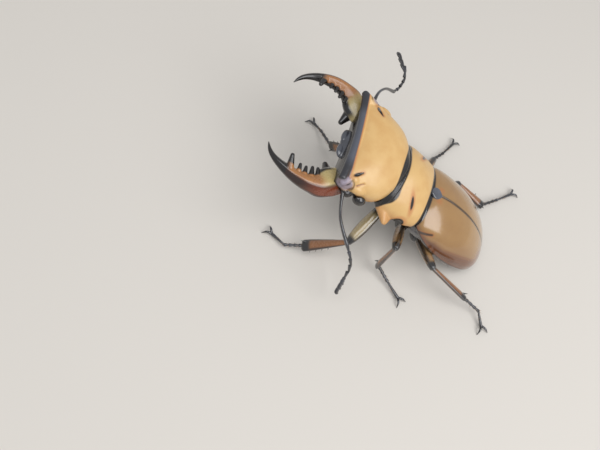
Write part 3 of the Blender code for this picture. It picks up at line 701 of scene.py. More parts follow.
def line_distance(points, line):
    """Distance of each point from a bent line of places, and its share along it."""
    points = np.stack(points, axis=1)
    line = np.array(line, float)
    best = np.full(len(points), 1e9)
    share = np.zeros(len(points))
    for index, (start, end) in enumerate(zip(line, line[1:])):
        way = end - start
        t = np.clip((points - start) @ way / (way @ way), 0.0, 1.0)
        gap = np.linalg.norm(points - start - t[:, None] * way, axis=1)
        nearer = gap < best
        best[nearer] = gap[nearer]
        share[nearer] = (index + t[nearer]) / (len(line) - 1)
    return best, share


def gap_from(points, middle, stretch=(1.0, 1.0, 1.0)):
    """Distance of each point from a place, with its three directions stretched."""
    return np.sqrt(sum(((axis - at) * factor) ** 2 for axis, at, factor in zip(points, middle, stretch)))


def highest(*shares):
    """The highest of these shares for each point."""
    return np.maximum.reduce(shares)


def spot(distance, radius, soft):
    """1 inside the radius, fading to 0 over the soft edge."""
    return 1.0 - ease(distance, radius - soft * 0.5, radius + soft * 0.5)


def finish_piece(piece, material, slot, *nodes):
    """Turn the piece to metres, give it its finish, and let it ride in place of its nodes."""
    piece.data.transform(Matrix.Scale(MM, 4))
    piece.data.materials.clear()
    piece.data.materials.append(material)
    if slot not in GLB_SLOTS:
        raise ValueError(f"no slot named {slot}")
    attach(piece, BODY)
    if nodes:
        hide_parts(*nodes)


def add(tree, kind, settings=None, links=None):
    """Add a node; keys name its own settings or its sockets, and numbers are sockets."""
    node = tree.nodes.new(kind)
    for key, value in (settings or {}).items():
        if isinstance(key, str) and hasattr(node, key):
            setattr(node, key, value)
        else:
            node.inputs[key].default_value = value
    for key, socket in (links or {}).items():
        tree.links.new(socket, node.inputs[key])
    return node


def cuticle(name, main, deep, marks, rough, dark_rough, pit=0.0, coat=1.0, wax=0.1, mottle=0.3):
    """Beetle horn: smooth sclerotised chitin, light amber to black.

    Chitin has an IOR near 1.56 and a waxy layer on it, so its gloss is clear and a little soft.
    Each mark is an attribute and the colour that it brings, painted over the ones before it.
    """
    sizes = bpy.context.scene.beetle_sizes
    material = bpy.data.materials.new(name)
    material.use_nodes = True
    tree = material.node_tree
    shader = tree.nodes["Principled BSDF"]
    shader.inputs["IOR"].default_value = 1.56
    shader.inputs["Coat Weight"].default_value = coat
    shader.inputs["Coat Roughness"].default_value = wax
    shader.inputs["Coat IOR"].default_value = 1.6
    coordinates = add(tree, "ShaderNodeTexCoord")
    cloud = add(tree, "ShaderNodeTexNoise",
                {"Scale": 1.0 / (CLOUD_SIZE * MM), "Detail": 3.0, "Roughness": 0.5},
                {"Vector": coordinates.outputs["Object"]})
    share = add(tree, "ShaderNodeMapRange", {"From Min": 0.4, "From Max": 0.7, "To Max": mottle},
                {"Value": cloud.outputs["Fac"]})
    mixed = add(tree, "ShaderNodeMix", {"data_type": "RGBA", 6: (*main, 1.0), 7: (*deep, 1.0)},
                {0: share.outputs["Result"]})
    paint = mixed.outputs[2]
    dark = None
    for attribute, tint in marks:
        reader = add(tree, "ShaderNodeAttribute", {"attribute_name": attribute})
        mixed = add(tree, "ShaderNodeMix", {"data_type": "RGBA", 7: (*tint, 1.0)},
                    {0: reader.outputs["Fac"], 6: paint})
        paint = mixed.outputs[2]
        dark = reader.outputs["Fac"]
    tree.links.new(paint, shader.inputs["Base Color"])
    grain = add(tree, "ShaderNodeTexNoise", {"Scale": 1.0 / (GRAIN_SIZE * MM), "Detail": 2.0},
                {"Vector": coordinates.outputs["Object"]})
    wear = add(tree, "ShaderNodeMapRange",
               {"From Min": 0.3, "From Max": 0.7, "To Min": rough - 0.04, "To Max": rough + 0.05},
               {"Value": grain.outputs["Fac"]})
    if dark:
        gloss = add(tree, "ShaderNodeMix", {"data_type": "FLOAT", 3: dark_rough},
                    {0: dark, 2: wear.outputs["Result"]})
        tree.links.new(gloss.outputs[0], shader.inputs["Roughness"])
    else:
        tree.links.new(wear.outputs["Result"], shader.inputs["Roughness"])
    if pit > 0.0:
        pits = add(tree, "ShaderNodeTexVoronoi", {"Scale": 1.0 / (sizes.pit_spacing * MM)},
                   {"Vector": coordinates.outputs["Object"]})
        depth = add(tree, "ShaderNodeMapRange", {"From Min": 0.0, "From Max": 0.35},
                    {"Value": pits.outputs["Distance"]})
        bump = add(tree, "ShaderNodeBump", {"Strength": pit, "Distance": PIT_DEPTH * MM},
                   {"Height": depth.outputs["Result"]})
        tree.links.new(bump.outputs["Normal"], shader.inputs["Normal"])
    return material


def finish_of(maker):
    """The material that the maker is named for, made the first time it is asked for."""
    name = maker.__name__.replace("_", " ")
    return bpy.data.materials.get(name) or maker(name)


def ochre_chitin(name):
    """Head and neck-shield horn with little melanin: warm ochre, finely pitted, satin more than glossy; some
    marks are painted shade and painted highlights.
    """
    c = bpy.context.scene.beetle_colours
    marks = (("warm", c.halo), ("slate", c.slate), ("lilac", c.lilac), ("dark", c.black))
    return cuticle(name, c.ochre, c.ochre_deep, marks, 0.42, 0.24, pit=0.1, coat=0.28, wax=0.24)


def tan_chitin(name):
    """Wing-case horn, a thin hard sheet: tan, browner at its edges, with a clear sky-bright gloss."""
    c = bpy.context.scene.beetle_colours
    marks = (("deep", c.tan_deep), ("warm", c.halo), ("dark", c.black))
    return cuticle(name, c.tan, c.tan_deep, marks, 0.22, 0.18, pit=0.14, coat=0.75, wax=0.12, mottle=0.12)


def jaw_chitin(name):
    """Jaw horn, thick and worn smooth: amber on top, deep red on the side, black where it bites."""
    c = bpy.context.scene.beetle_colours
    marks = (("base", c.jaw_base), ("side", c.jaw_side), ("dark", c.black))
    return cuticle(name, c.amber, c.ochre_deep, marks, 0.28, 0.16, coat=0.45, wax=0.14)


def black_chitin(name):
    """Horn full of melanin: near black with a soft shine and fine pits."""
    c = bpy.context.scene.beetle_colours
    # Its random blotches take the blue-grey of the painted reflection.
    return cuticle(name, c.black, c.slate, (), 0.2, 0.2, pit=0.2, mottle=0.5)


def slate_chitin(name):
    """Black horn painted blue-grey: a painted reflection of the pale room in its gloss."""
    c = bpy.context.scene.beetle_colours
    return cuticle(name, c.slate, c.black, (), 0.2, 0.2, pit=0.15, mottle=0.6)


def leg_chitin(name):
    """Leg horn: brown, translucent and lighter in the middle of each limb, black at joints and edges."""
    c = bpy.context.scene.beetle_colours
    return cuticle(name, c.leg, c.tan_deep, (("pale", c.thigh), ("dark", c.black)), 0.27, 0.2, pit=0.15)


def belly_chitin(name):
    """Belly plates: dark brown, duller and more coarsely pitted than the top."""
    c = bpy.context.scene.beetle_colours
    return cuticle(name, c.belly, c.black, (("dark", c.black),), 0.32, 0.3, pit=0.3)


def bristle_chitin(name):
    """Stiff hairs of brown chitin, without the waxy coat, so they look dry."""
    c = bpy.context.scene.beetle_colours
    return cuticle(name, c.bristle, c.tan_deep, (), 0.4, 0.4, coat=0.0)


def eye_lens(name):
    """Compound eye: black glassy facets. Real facets are 0.02 mm, drawn 0.14 mm so that they show."""
    main = bpy.context.scene.beetle_colours.black
    material = cuticle(name, main, linear("#0B0B10"), (), 0.08, 0.08, coat=0.6)
    tree = material.node_tree
    coordinates = add(tree, "ShaderNodeTexCoord")
    facets = add(tree, "ShaderNodeTexVoronoi", {"Scale": 1.0 / (FACET_SIZE * MM)},
                 {"Vector": coordinates.outputs["Object"]})
    bump = add(tree, "ShaderNodeBump", {"Strength": 0.25, "Distance": FACET_DEPTH * MM, "invert": True},
               {"Height": facets.outputs["Distance"]})
    tree.links.new(bump.outputs["Normal"], tree.nodes["Principled BSDF"].inputs["Normal"])
    return material


class BEETLE_OT_head(bpy.types.Operator):
    """Head with its raised black rim, side lobes and brows"""

    bl_idname = "beetle.head"
    bl_label = "Head"

    def execute(self, context):
        place = FRAMES["head"]
        shells = [shell([trunk_ring(row, TRUNK_SIDES) for row in smooth(HEAD_RINGS, TRUNK_STEPS)])]
        count = 40
        path = []
        for index in range(count + 1):
            share = 2.0 * index / count - 1.0
            left = CREST_HALF_WIDTH * share
            forward = CREST_MIDDLE[0] + (CREST_CORNER[0] - CREST_MIDDLE[0]) * share ** 2
            up = CREST_MIDDLE[1] + (CREST_CORNER[1] - CREST_MIDDLE[1]) * share ** 2
            path.append(Vector((left, forward + CREST_SKEW * left, up)))
        shells.append(rounded(path, [(CREST_RADIUS, CREST_RADIUS)] * len(path), UP, 20, (0.5, 0.5)))
        for (side, _), lobe in zip(SIDES, CREST_LOBES):
            shells.append(peg(on_side(CREST_LOBE_ROOT, side), Vector(lobe), 1.1, 0.7, 0.85, 24))
        for side, _ in SIDES:
            shells += [dome(on_side(lump, side), radii) for lump, radii in HEAD_LUMPS]
        head = make_object("head_capsule", shells, place)
        fuse(head, context.scene.beetle_sizes.skin_grain, 6)
        self.paint(head, place)
        finish_piece(head, finish_of(ochre_chitin), "ochre_horn", "head")
        return {"FINISHED"}

    def paint(self, head, place):
        """Press in the brow and cheek folds, and mark the colours of the mask, with painted shade in the
        folds and low on the head, painted reflection on the rim and face, and a painted highlight on the side
        lobes.
        """
        left, forward, up = places(head, place)
        wide = np.abs(left)
        points = (wide, forward, up)
        brow, brow_share = line_distance(points, BROW_LINE)
        cheek = line_distance(points, CHEEK_LINE)[0]
        brow_fade = np.sin(np.pi * np.clip(brow_share, 0.05, 0.95)) ** 0.5
        groove = np.minimum(*(line_distance(points, line)[0] for line in LOBE_LINES))
        carve(head, BROW_DEPTH * brow_fade * np.exp(-(brow / FOLD_WIDTH) ** 2)
              + CHEEK_DEPTH * np.exp(-(cheek / FOLD_WIDTH) ** 2)
              + LOBE_LINE_DEPTH * np.exp(-(groove / FOLD_WIDTH) ** 2))
        edge = CREST_EDGE - CREST_EDGE_SLANT * left
        crest = ease(forward, edge - 0.1, edge + 0.1)
        low = ease(-up, 2.6, 3.1) * ease(forward, 8.9, 9.3)
        collar = 1.0 - ease(forward + HEAD_COLLAR_BEND * left ** 2, *HEAD_COLLAR)
        lobe_gap = gap_from(points, LOBE_SHEEN_MIDDLE, LOBE_SHEEN_STRETCH)
        # Where the side lobes' painted highlight goes.
        lobe = spot(lobe_gap, 1.25, 0.35)
        lobe_rim = spot(np.abs(lobe_gap - 1.42), 0.1, 0.2) * ease(wide, 7.6, 8.2) * 0.8
        socket = spot(gap_from(points, SOCKET_MARK, SOCKET_MARK_STRETCH), 1.35, 0.25)
        # Dark in the brow slit, the lobe grooves and the cheek fold, and the deeper orange round them:
        # painted shade of these folds.
        brow_slit_shade = spot(brow, 0.3 * np.clip(brow_fade, 0.3, 1.0) + 0.03, 0.14)
        lobe_and_cheek_fold_shade = np.maximum(0.9 * spot(groove, 0.16, 0.2) * spot(lobe_gap, 1.5, 0.3),
                               0.75 * spot(cheek, 0.1, 0.14))
        under = ease(-up, 4.0, 5.0)
        face = ease(-up, 1.6, 2.2) * ease(forward, edge - 0.2, edge)
        warm_front = 0.75 * ease(forward, edge - 0.5, edge)
        fold_shade_orange = np.maximum(0.6 * spot(cheek, 0.16, 0.2), 0.45 * spot(brow, 0.42, 0.4))
        # The deeper orange low on the head is painted shade.
        mark(head, "warm", highest(warm_front, fold_shade_orange, 0.3 * ease(-up, 2.0, 3.6)))
        # Blue-grey on the rim and the face below it: painted reflection on black horn.
        mark(head, "slate", np.maximum(crest, face))
        # The pale gloss on the side lobes is a painted highlight.
        mark(head, "lilac", lobe * 0.9)
        crest_low = crest * np.maximum(ease(-up, 0.9, 1.5) * 0.8, ease(wide, 3.5, 6.5) * 0.75)
        dark = highest(0.1 * crest, crest_low, 0.6 * face, low, collar, lobe_rim, socket, brow_slit_shade, under)
        mark(head, "dark", np.maximum(dark * (1.0 - lobe), lobe_and_cheek_fold_shade))


class BEETLE_OT_eyes(bpy.types.Operator):
    """Dark compound eyes set in the sides of the head"""

    bl_idname = "beetle.eyes"
    bl_label = "Eyes"

    def execute(self, context):
        for side, word in SIDES:
            lens = dome(on_side(EYE_PLACE, side), EYE_RADII, 32, 56)
            eye = make_object("eye_dome_" + word, [lens], FRAMES["head"])
            finish_piece(eye, finish_of(eye_lens), "eye_black", "eye_" + word)
        return {"FINISHED"}


def along_path(piece, place, path, side):
    """For each point of the piece: its share along the path, and its offset outwards and up."""
    x, y, z = places(piece, place)
    points = np.stack([x * side, y, z], axis=1)
    line = np.array([row[:3] for row in path])
    gaps = points[:, None, :] - line[None, :, :]
    nearest = np.argmin((gaps ** 2).sum(axis=2), axis=1)
    ahead = np.gradient(line, axis=0)
    gap = gaps[np.arange(len(points)), nearest]
    step = (gap * ahead[nearest]).sum(axis=1) / (ahead[nearest] ** 2).sum(axis=1)
    along = np.clip(nearest + np.clip(step, -0.5, 0.5), 0, len(path) - 1)
    outward = np.cross(ahead, np.array([0.0, 0.0, 1.0]))
    outward /= np.linalg.norm(outward, axis=1)[:, None]
    table = np.column_stack([line, outward, [row[3] for row in path], [row[4] for row in path]])
    at = np.stack([np.interp(along, np.arange(len(path)), column) for column in table.T], axis=1)
    gap = points - at[:, :3]
    return along / (len(path) - 1), (gap * at[:, 3:6]).sum(axis=1) / at[:, 6], gap[:, 2] / at[:, 7]


def jaw_section(side):
    """Flat top, a ridge above a sloping outer face, and a thin inner edge."""
    def section(angle):
        across = math.cos(angle)
        rise = math.sin(angle)
        outer = across * side
        if outer > 0.0:
            corner = 4.2 if rise > 0.0 else 2.5
            across = power_of(across, corner)
            rise = power_of(rise, corner)
            return across * (1.0 - JAW_SLOPE * max(0.0, rise)), rise
        corner = 1.35 if rise > 0.0 else 1.8
        return power_of(across, corner), power_of(rise, corner)
    return section


class BEETLE_OT_jaws(bpy.types.Operator):
    """Curved jaws with their teeth"""

    bl_idname = "beetle.jaws"
    bl_label = "Jaws"

    def execute(self, context):
        place = FRAMES["head"]
        rows = smooth(JAW_PATH, 8)
        for side, word in SIDES:
            mirrored = [(side * row[0], *row[1:]) for row in rows]
            shells = [rounded_rows(mirrored, UP, 48, (0.3, 0.5), jaw_section(side))]
            for root, tip, radius, end_radius in JAW_TEETH:
                shells.append(peg(on_side(root, side), on_side(tip, side), radius, end_radius))
            jaw = make_object("jaw_" + word, shells, place)
            fuse(jaw, context.scene.beetle_sizes.jaw_grain, 8)
            self.paint(jaw, place, rows, side)
            finish_piece(jaw, finish_of(jaw_chitin), "amber_horn", "mandible_" + word)
        return {"FINISHED"}

    def paint(self, jaw, place, rows, side):
        """Mark the jaw's olive root, red outer face, and black tip, teeth and edges."""
        share, outward, above = along_path(jaw, place, rows, side)
        ridge_gap = outward - (1.0 - JAW_SLOPE * np.clip(above, 0.0, 1.0))
        outer = ease(ridge_gap, -0.2, -0.06) * ease(outward, 0.2, 0.4)
        ridge = spot(np.abs(ridge_gap + 0.13), 0.06, 0.1) * ease(above, 0.5, 0.75) * ease(outward, 0.2, 0.35)
        tip_mark = ease(share + 0.03 * outward, 0.53, 0.6)
        outer_dark = ease(share, 0.2, 0.42) * outer
        inner_face = ease(-outward, 0.3, 0.5) * (1.0 - ease(above, 0.15, 0.4))
        inner_dark = np.maximum(inner_face, ease(-outward, 0.66, 0.84)) * ease(share, 0.02, 0.08)
        line = spot(np.abs(outward - 1.0), 0.06, 0.1) * ease(share, 0.1, 0.2)
        lower = ease(-above, 0.1, 0.6)
        left, forward, up = places(jaw, place)
        teeth = np.zeros(len(share))
        for root, tip, radius, end_radius in JAW_TEETH:
            gap, along = line_distance((left * side, forward, up), (root, tip))
            reach = radius + (end_radius - radius) * along
            teeth = np.maximum(teeth, spot(gap, reach * 1.15, 0.2) * ease(along, 0.2, 0.45))
        mark(jaw, "base", 1.0 - ease(share, 0.13, 0.25))
        mark(jaw, "side", np.maximum(outer, lower))
        mark(jaw, "dark", highest(tip_mark, outer_dark * 0.9, inner_dark, lower * 0.9, 0.5 * ridge,
                                  0.7 * line, teeth))


class BEETLE_OT_mouth(bpy.types.Operator):
    """Lip and jointed palps below the crest"""

    bl_idname = "beetle.mouth"
    bl_label = "Mouth"

    def execute(self, context):
        shells = [rounded_rows(smooth(LIP_PATH, 5), UP, 40, (0.1, 0.1))]
        for side, _ in SIDES:
            shells += [dome(on_side(lump, side), radii) for lump, radii in LIP_LUMPS]
        lip = make_object("lip", shells, FRAMES["head"])
        fuse(lip, context.scene.beetle_sizes.jaw_grain, 14)
        # The lip's blue-grey finish is a painted reflection on black horn.
        finish_piece(lip, finish_of(slate_chitin), "black_horn", "labrum")
        for side, word in SIDES:
            shells = []
            joints = [on_side(row, side) for row in PALP_PATH]
            for index, (start, end) in enumerate(zip(joints, joints[1:])):
                thick = PALP_PATH[index][3]
                path = between(start, end, (0.0, 0.3, 0.7, 1.0))
                sizes = [(thick * swell, thick * swell) for swell in (0.6, 0.8, 1.0, 0.85)]
                shells.append(rounded(path, sizes, LENGTHWAYS, 14, (0.6, 0.6)))
            palp = make_object("palp_joints_" + word, shells, FRAMES["head"])
            finish_piece(palp, finish_of(leg_chitin), "umber_horn", "palp_" + word)
        return {"FINISHED"}


def shape_tree(name, inputs):
    """Geometry nodes with these inputs; also gives the input sockets, and their keys by name."""
    tree = bpy.data.node_groups.new(name, "GeometryNodeTree")
    keys = {}
    for label, kind in inputs.items():
        socket = tree.interface.new_socket(label, in_out="INPUT", socket_type="NodeSocket" + kind)
        keys[label] = socket.identifier
    tree.interface.new_socket("Copies", in_out="OUTPUT", socket_type="NodeSocketGeometry")
    return tree, add(tree, "NodeGroupInput").outputs, keys


def set_copies(tree, points, shape, way, material, scale=None):
    """End the tree with a copy of the shape on each point, its length turned along the way."""
    turn = add(tree, "FunctionNodeAlignRotationToVector", {"axis": "Z"}, {"Vector": way})
    links = {"Points": points, "Instance": shape, "Rotation": turn.outputs["Rotation"]}
    if scale:
        links["Scale"] = scale
    copies = add(tree, "GeometryNodeInstanceOnPoints", None, links)
    real = add(tree, "GeometryNodeRealizeInstances", None, {"Geometry": copies.outputs["Instances"]})
    soft = add(tree, "GeometryNodeSetShadeSmooth", None, {"Geometry": real.outputs["Geometry"]})
    painted = add(tree, "GeometryNodeSetMaterial", {"Material": material},
                  {"Geometry": soft.outputs["Geometry"]})
    add(tree, "NodeGroupOutput", None, {"Copies": painted.outputs["Geometry"]})


def bead_tree(material):
    """Nodes that set pear-shaped beads along a curve, each turned to follow it."""
    tree, enter, keys = shape_tree("feeler beads", {"Path": "Geometry", "Beads": "Int", "Radius": "Float",
                                                    "Length": "Float"})
    spread = add(tree, "GeometryNodeCurveToPoints", {"mode": "COUNT"},
                 {"Curve": enter["Path"], "Count": enter["Beads"]})
    slim = add(tree, "ShaderNodeMath", {"operation": "MULTIPLY", 1: BEAD_TAPER}, {0: enter["Radius"]})
    bead = add(tree, "GeometryNodeMeshCone", {"Vertices": 14, "Side Segments": 5, "Fill Segments": 3},
               {"Depth": enter["Length"], "Radius Bottom": enter["Radius"], "Radius Top": slim.outputs[0]})
    round_off = add(tree, "GeometryNodeSubdivisionSurface", {"Level": 1}, {"Mesh": bead.outputs["Mesh"]})
    set_copies(tree, spread.outputs["Points"], round_off.outputs["Mesh"], spread.outputs["Tangent"], material)
    return tree, keys


class BEETLE_OT_feelers(bpy.types.Operator):
    """Elbowed feelers: a long first joint, small beads and a club of blades"""

    bl_idname = "beetle.feelers"
    bl_label = "Feelers"

    def execute(self, context):
        place = FRAMES["head"]
        material = finish_of(black_chitin)
        for word in SCAPES:
            rows = smooth([(*point, radius) for point, radius in zip(SCAPES[word], SCAPE_RADII)], 8)
            scape = make_object("feeler_stem_" + word, [rounded_rows(rows, UP, 16)], place)
            finish_piece(scape, material, "black_horn", "antenna_scape_" + word)
            lash = self.lash(word, place, material)
            finish_piece(lash, material, "black_horn", "antenna_club_" + word)
        return {"FINISHED"}

    def lash(self, word, place, material):
        """Beads of the small joints, with the club's blades joined to them."""
        points = smooth(LASHES[word], 6)
        curve = bpy.data.curves.new("lash path", "CURVE")
        curve.dimensions = "3D"
        line = curve.splines.new("POLY")
        line.points.add(len(points) - 1)
        for point, spot_on in zip(line.points, points):
            point.co = (*(place @ spot_on), 1.0)
        length = sum((b - a).length for a, b in zip(points, points[1:]))
        lash = put("feeler_lash_" + word, curve)
        tree, keys = bead_tree(material)
        beads = lash.modifiers.new("beads", "NODES")
        beads.node_group = tree
        beads[keys["Beads"]] = LASH_JOINTS
        beads[keys["Radius"]] = LASH_RADIUS
        beads[keys["Length"]] = length / (LASH_JOINTS - 1) * LASH_OVERLAP
        view = bpy.context.evaluated_depsgraph_get()
        mesh = bpy.data.meshes.new_from_object(lash.evaluated_get(view))
        bpy.data.objects.remove(lash)
        piece = put("feeler_lash_" + word, mesh)
        blades = make_object("blades", self.blades(word, points[-1]), place)
        with bpy.context.temp_override(active_object=piece, selected_editable_objects=[piece, blades]):
            bpy.ops.object.join()
        return piece

    def blades(self, word, start):
        """Three flat leaves of the club, each wider than the joint that it stands on."""
        tip = Vector(CLUB_TIPS[word])
        along = (tip - start).normalized()
        outward = along.cross(UP).normalized()
        shells = []
        for index in range(CLUB_BLADES):
            root = start + (tip - start) * (index / CLUB_BLADES) - along * 0.3
            end = root + (tip - start) * (1.0 / CLUB_BLADES) + along * 0.55
            rows = smooth([
                (*root, 0.2, 0.2),
                (*root.lerp(end, 0.45), 0.36, 0.27),
                (*(root.lerp(end, 0.85) + outward * 0.12), 0.5, 0.28),
                (*(end + outward * 0.4), 0.3, 0.2),
            ], 4)
            shells.append(rounded_rows(rows, UP, 16, (0.6, 0.6)))
        return shells


class BEETLE_OT_shield(bpy.types.Operator):
    """Neck shield with its side corners, notches, spots and beaded edges"""

    bl_idname = "beetle.shield"
    bl_label = "Neck shield"

    def execute(self, context):
        place = FRAMES["shield"]
        rings = [trunk_ring(row, SHIELD_SIDES) for row in smooth(SHIELD_RINGS, TRUNK_STEPS)]
        shells = [shell(rings)]
        for side, _ in SIDES:
            rows = smooth([(side * row[0], *row[1:]) for row in SHIELD_CORNER_PATH], 4)
            shells.append(rounded_rows(rows, UP, 40, (0.3, 0.25)))
        for index, inset in SHIELD_BEADED:
            upper = (point for point in rings[index] if point.z > SHIELD_BEAD_END)
            edge = sorted(upper, key=lambda point: point.x)
            edge = [point - UP * inset for point in edge]
            sizes = [(SHIELD_BEAD, SHIELD_BEAD)] * len(edge)
            shells.append(shell(sweep(edge, sizes, LENGTHWAYS, 10)))
        shield = make_object("neck_shield", shells, place)
        cutters = [make_object("notch", [dome(on_side(SHIELD_NOTCH_PLACE, side), SHIELD_NOTCH_RADII)], place)
                   for side, _ in SIDES]
        grain = context.scene.beetle_sizes.skin_grain
        fuse(shield, grain, 1)
        fuse(shield, grain, 7, cutters)
        self.paint(shield, place)
        finish_piece(shield, finish_of(ochre_chitin), "ochre_horn", "pronotum")
        return {"FINISHED"}

    def paint(self, shield, place):
        """Mark the slanted spots, the black edges and notches, the warm lines beside them, and a painted
        shade of deeper orange low on the sides.
        """
        left, forward, up = places(shield, place)
        wide = np.abs(left)
        slant = math.radians(SHIELD_SPOT_SLANT)
        across = wide - SHIELD_SPOT_PLACE[0]
        ahead = forward - SHIELD_SPOT_PLACE[1]
        lengthways = across * math.cos(slant) - ahead * math.sin(slant)
        sideways = across * math.sin(slant) + ahead * math.cos(slant)
        reach = np.hypot(lengthways / SHIELD_SPOT_HALF_LENGTH, sideways / SHIELD_SPOT_HALF_WIDTH)
        upper = ease(up, -3.6, -2.6)
        spots = spot(reach, 1.0, 0.45) * upper
        halo = spot(reach, 1.9, 1.6) * upper
        hind = 1.0 - ease(forward + 0.9 * (left / 6.6) ** 2, *SHIELD_HIND_EDGE)
        front_edge = SHIELD_FRONT_EDGE - 0.5 * np.exp(-((wide - 5.4) / 1.2) ** 2) + 0.6 * ease(wide, 6.1, 7.1)
        front = ease(forward, front_edge - 0.14, front_edge + 0.16)
        notch = np.sqrt(
            ((wide - SHIELD_NOTCH_PLACE[0]) / SHIELD_NOTCH_RADII[0]) ** 2
            + ((forward - SHIELD_NOTCH_PLACE[1]) / SHIELD_NOTCH_RADII[1]) ** 2
            + ((up - SHIELD_NOTCH_PLACE[2]) / SHIELD_NOTCH_RADII[2]) ** 2
        )
        pit = spot(notch, 1.18, 0.14)
        under = ease(-up, 5.0, 5.6)
        mark(shield, "slate", np.zeros(len(left)))
        mark(shield, "lilac", np.zeros(len(left)))
        # The deeper orange low on the sides is painted shade.
        mark(shield, "warm", highest(0.6 * halo, 0.5 * spot(notch, 1.5, 0.5), 0.3 * ease(-up, 2.5, 4.5)))
        mark(shield, "dark", highest(spots, hind, front, pit, under))


class BEETLE_OT_scutellum(bpy.types.Operator):
    """Small dark plate between the wing cases"""

    bl_idname = "beetle.scutellum"
    bl_label = "Scutellum"

    def execute(self, context):
        rings = []
        sides = 48
        for level, share in SCUTELLUM_RINGS:
            ring = []
            for index in range(sides):
                angle = TURN * index / sides
                behind = max(0.0, -math.sin(angle))
                width = SCUTELLUM_SIZE[0] * (1.0 - 0.5 * behind ** 1.5)
                slope = 0.1 * share * math.sin(angle)
                forward = share * SCUTELLUM_SIZE[1] * math.sin(angle)
                ring.append(Vector((share * width * math.cos(angle), forward, level - slope)))
            rings.append(ring)
        plate = make_object("scutellum_plate", [shell(rings)], FRAMES["cases"])
        # The plate's blue-grey finish is a painted reflection on black horn.
        finish_piece(plate, finish_of(slate_chitin), "black_horn", "scutellum")
        return {"FINISHED"}


def wing_case_ring(row, side, points=84):
    """Half a cross-section of the closed wing cases, with a rolled outer edge and a turned-in suture."""
    forward, width, level, top = row
    ring = []
    for index in range(points):
        angle = 0.5 * math.pi * index / (points - 1)
        across = max(width * math.cos(angle), WING_CASE_SEAM)
        up = level + (top - level) * math.sin(angle)
        roll = math.exp(-((angle - 0.04) / 0.05) ** 2) * WING_CASE_ROLL
        sink = WING_CASE_SINK * math.exp(-((across - WING_CASE_SEAM) / 0.22) ** 2)
        ring.append(Vector((side * (across + roll), forward, up - sink)))
    floor = level - WING_CASE_RIM
    ring.append(Vector((side * WING_CASE_SEAM, forward, floor)))
    ring.append(Vector((side * width * 0.5, forward, floor)))
    ring.append(Vector((side * width * 0.93, forward, floor)))
    ring.append(Vector((side * width * 0.99, forward, level - WING_CASE_RIM * 0.6)))
    return ring


class BEETLE_OT_wing_cases(bpy.types.Operator):
    """Domed wing cases that meet along the suture"""

    bl_idname = "beetle.wing_cases"
    bl_label = "Wing cases"

    def execute(self, context):
        place = FRAMES["cases"]
        rows = smooth(WING_CASE_RINGS, 15)
        lines = np.array([[row[0], row[2], row[3]] for row in rows])
        for side, word in SIDES:
            rings = [wing_case_ring(row, side) for row in rows]
            case = make_object("wing_case_" + word, [shell(rings)], place)
            self.paint(case, place, lines)
            finish_piece(case, finish_of(tan_chitin), "tan_horn", "elytron_" + word)
        return {"FINISHED"}

    def paint(self, case, place, lines):
        """Mark the brown side band, the painted shade below the shoulder, the tail marks, and the dark suture
        and edges.
        """
        left, forward, up = places(case, place)
        wide = np.abs(left)
        level = np.interp(forward, lines[:, 0], lines[:, 1])
        top = np.interp(forward, lines[:, 0], lines[:, 2])
        height = (up - level) / (top - level)
        seam = 1.0 - ease(wide, 0.12, 0.4)
        edge = np.maximum(1.0 - ease(height, 0.03, 0.15), 0.4 * (1.0 - ease(height, 0.05, 0.4)))
        collar = ease(forward, 0.35, 0.6)
        shoulder, along = line_distance((wide, forward, up), SHOULDER_SHADE_LINE)
        tail = gap_from((wide, forward, up), TAIL_MARK, TAIL_MARK_STRETCH)
        stripes = 0.5 + 0.5 * np.cos((1.0 - height) * 9.0 + 0.25 * forward)
        band_forward, band_height = zip(*SIDE_BAND)
        over_band = height - np.interp(forward, band_forward, band_height)
        deep = 0.85 * (1.0 - ease(over_band, -0.14, 0.1)) + 0.3 * (1.0 - ease(over_band, 0.0, 0.4))
        deep += 0.12 * stripes * ease(over_band, 0.0, 0.2)
        hind_end = 0.5 * (1.0 - ease(forward, -18.6, -14.5))
        band_line = spot(np.abs(over_band), 0.02, 0.05) * (1.0 - ease(forward, -8.0, -6.5))
        behind_plate = np.hypot(wide - 1.1, forward + 0.8)
        # The dark streak below the shoulder and the orange round it are painted shade.
        shoulder_shade_core = spot(shoulder, 0.36 - 0.14 * along, 0.3)
        underside = 1.0 - ease(up - level, -0.4, -0.05)
        mark(case, "deep", highest(deep, hind_end, 0.9 * spot(tail, 1.3, 2.0)))
        mark(case, "warm", highest(0.35 * spot(behind_plate, 0.6, 0.9), 0.3 * spot(tail, 1.1, 1.4),
                                   0.3 * band_line, 0.35 * spot(shoulder, 0.5, 0.5),
                                   0.3 * (1.0 - ease(height, 0.1, 0.22))))
        mark(case, "dark", highest(seam * 0.8, edge * 0.95, collar, 0.35 * band_line, shoulder_shade_core * 0.9,
                                   spot(tail, 0.6, 1.2) * 0.5, underside))


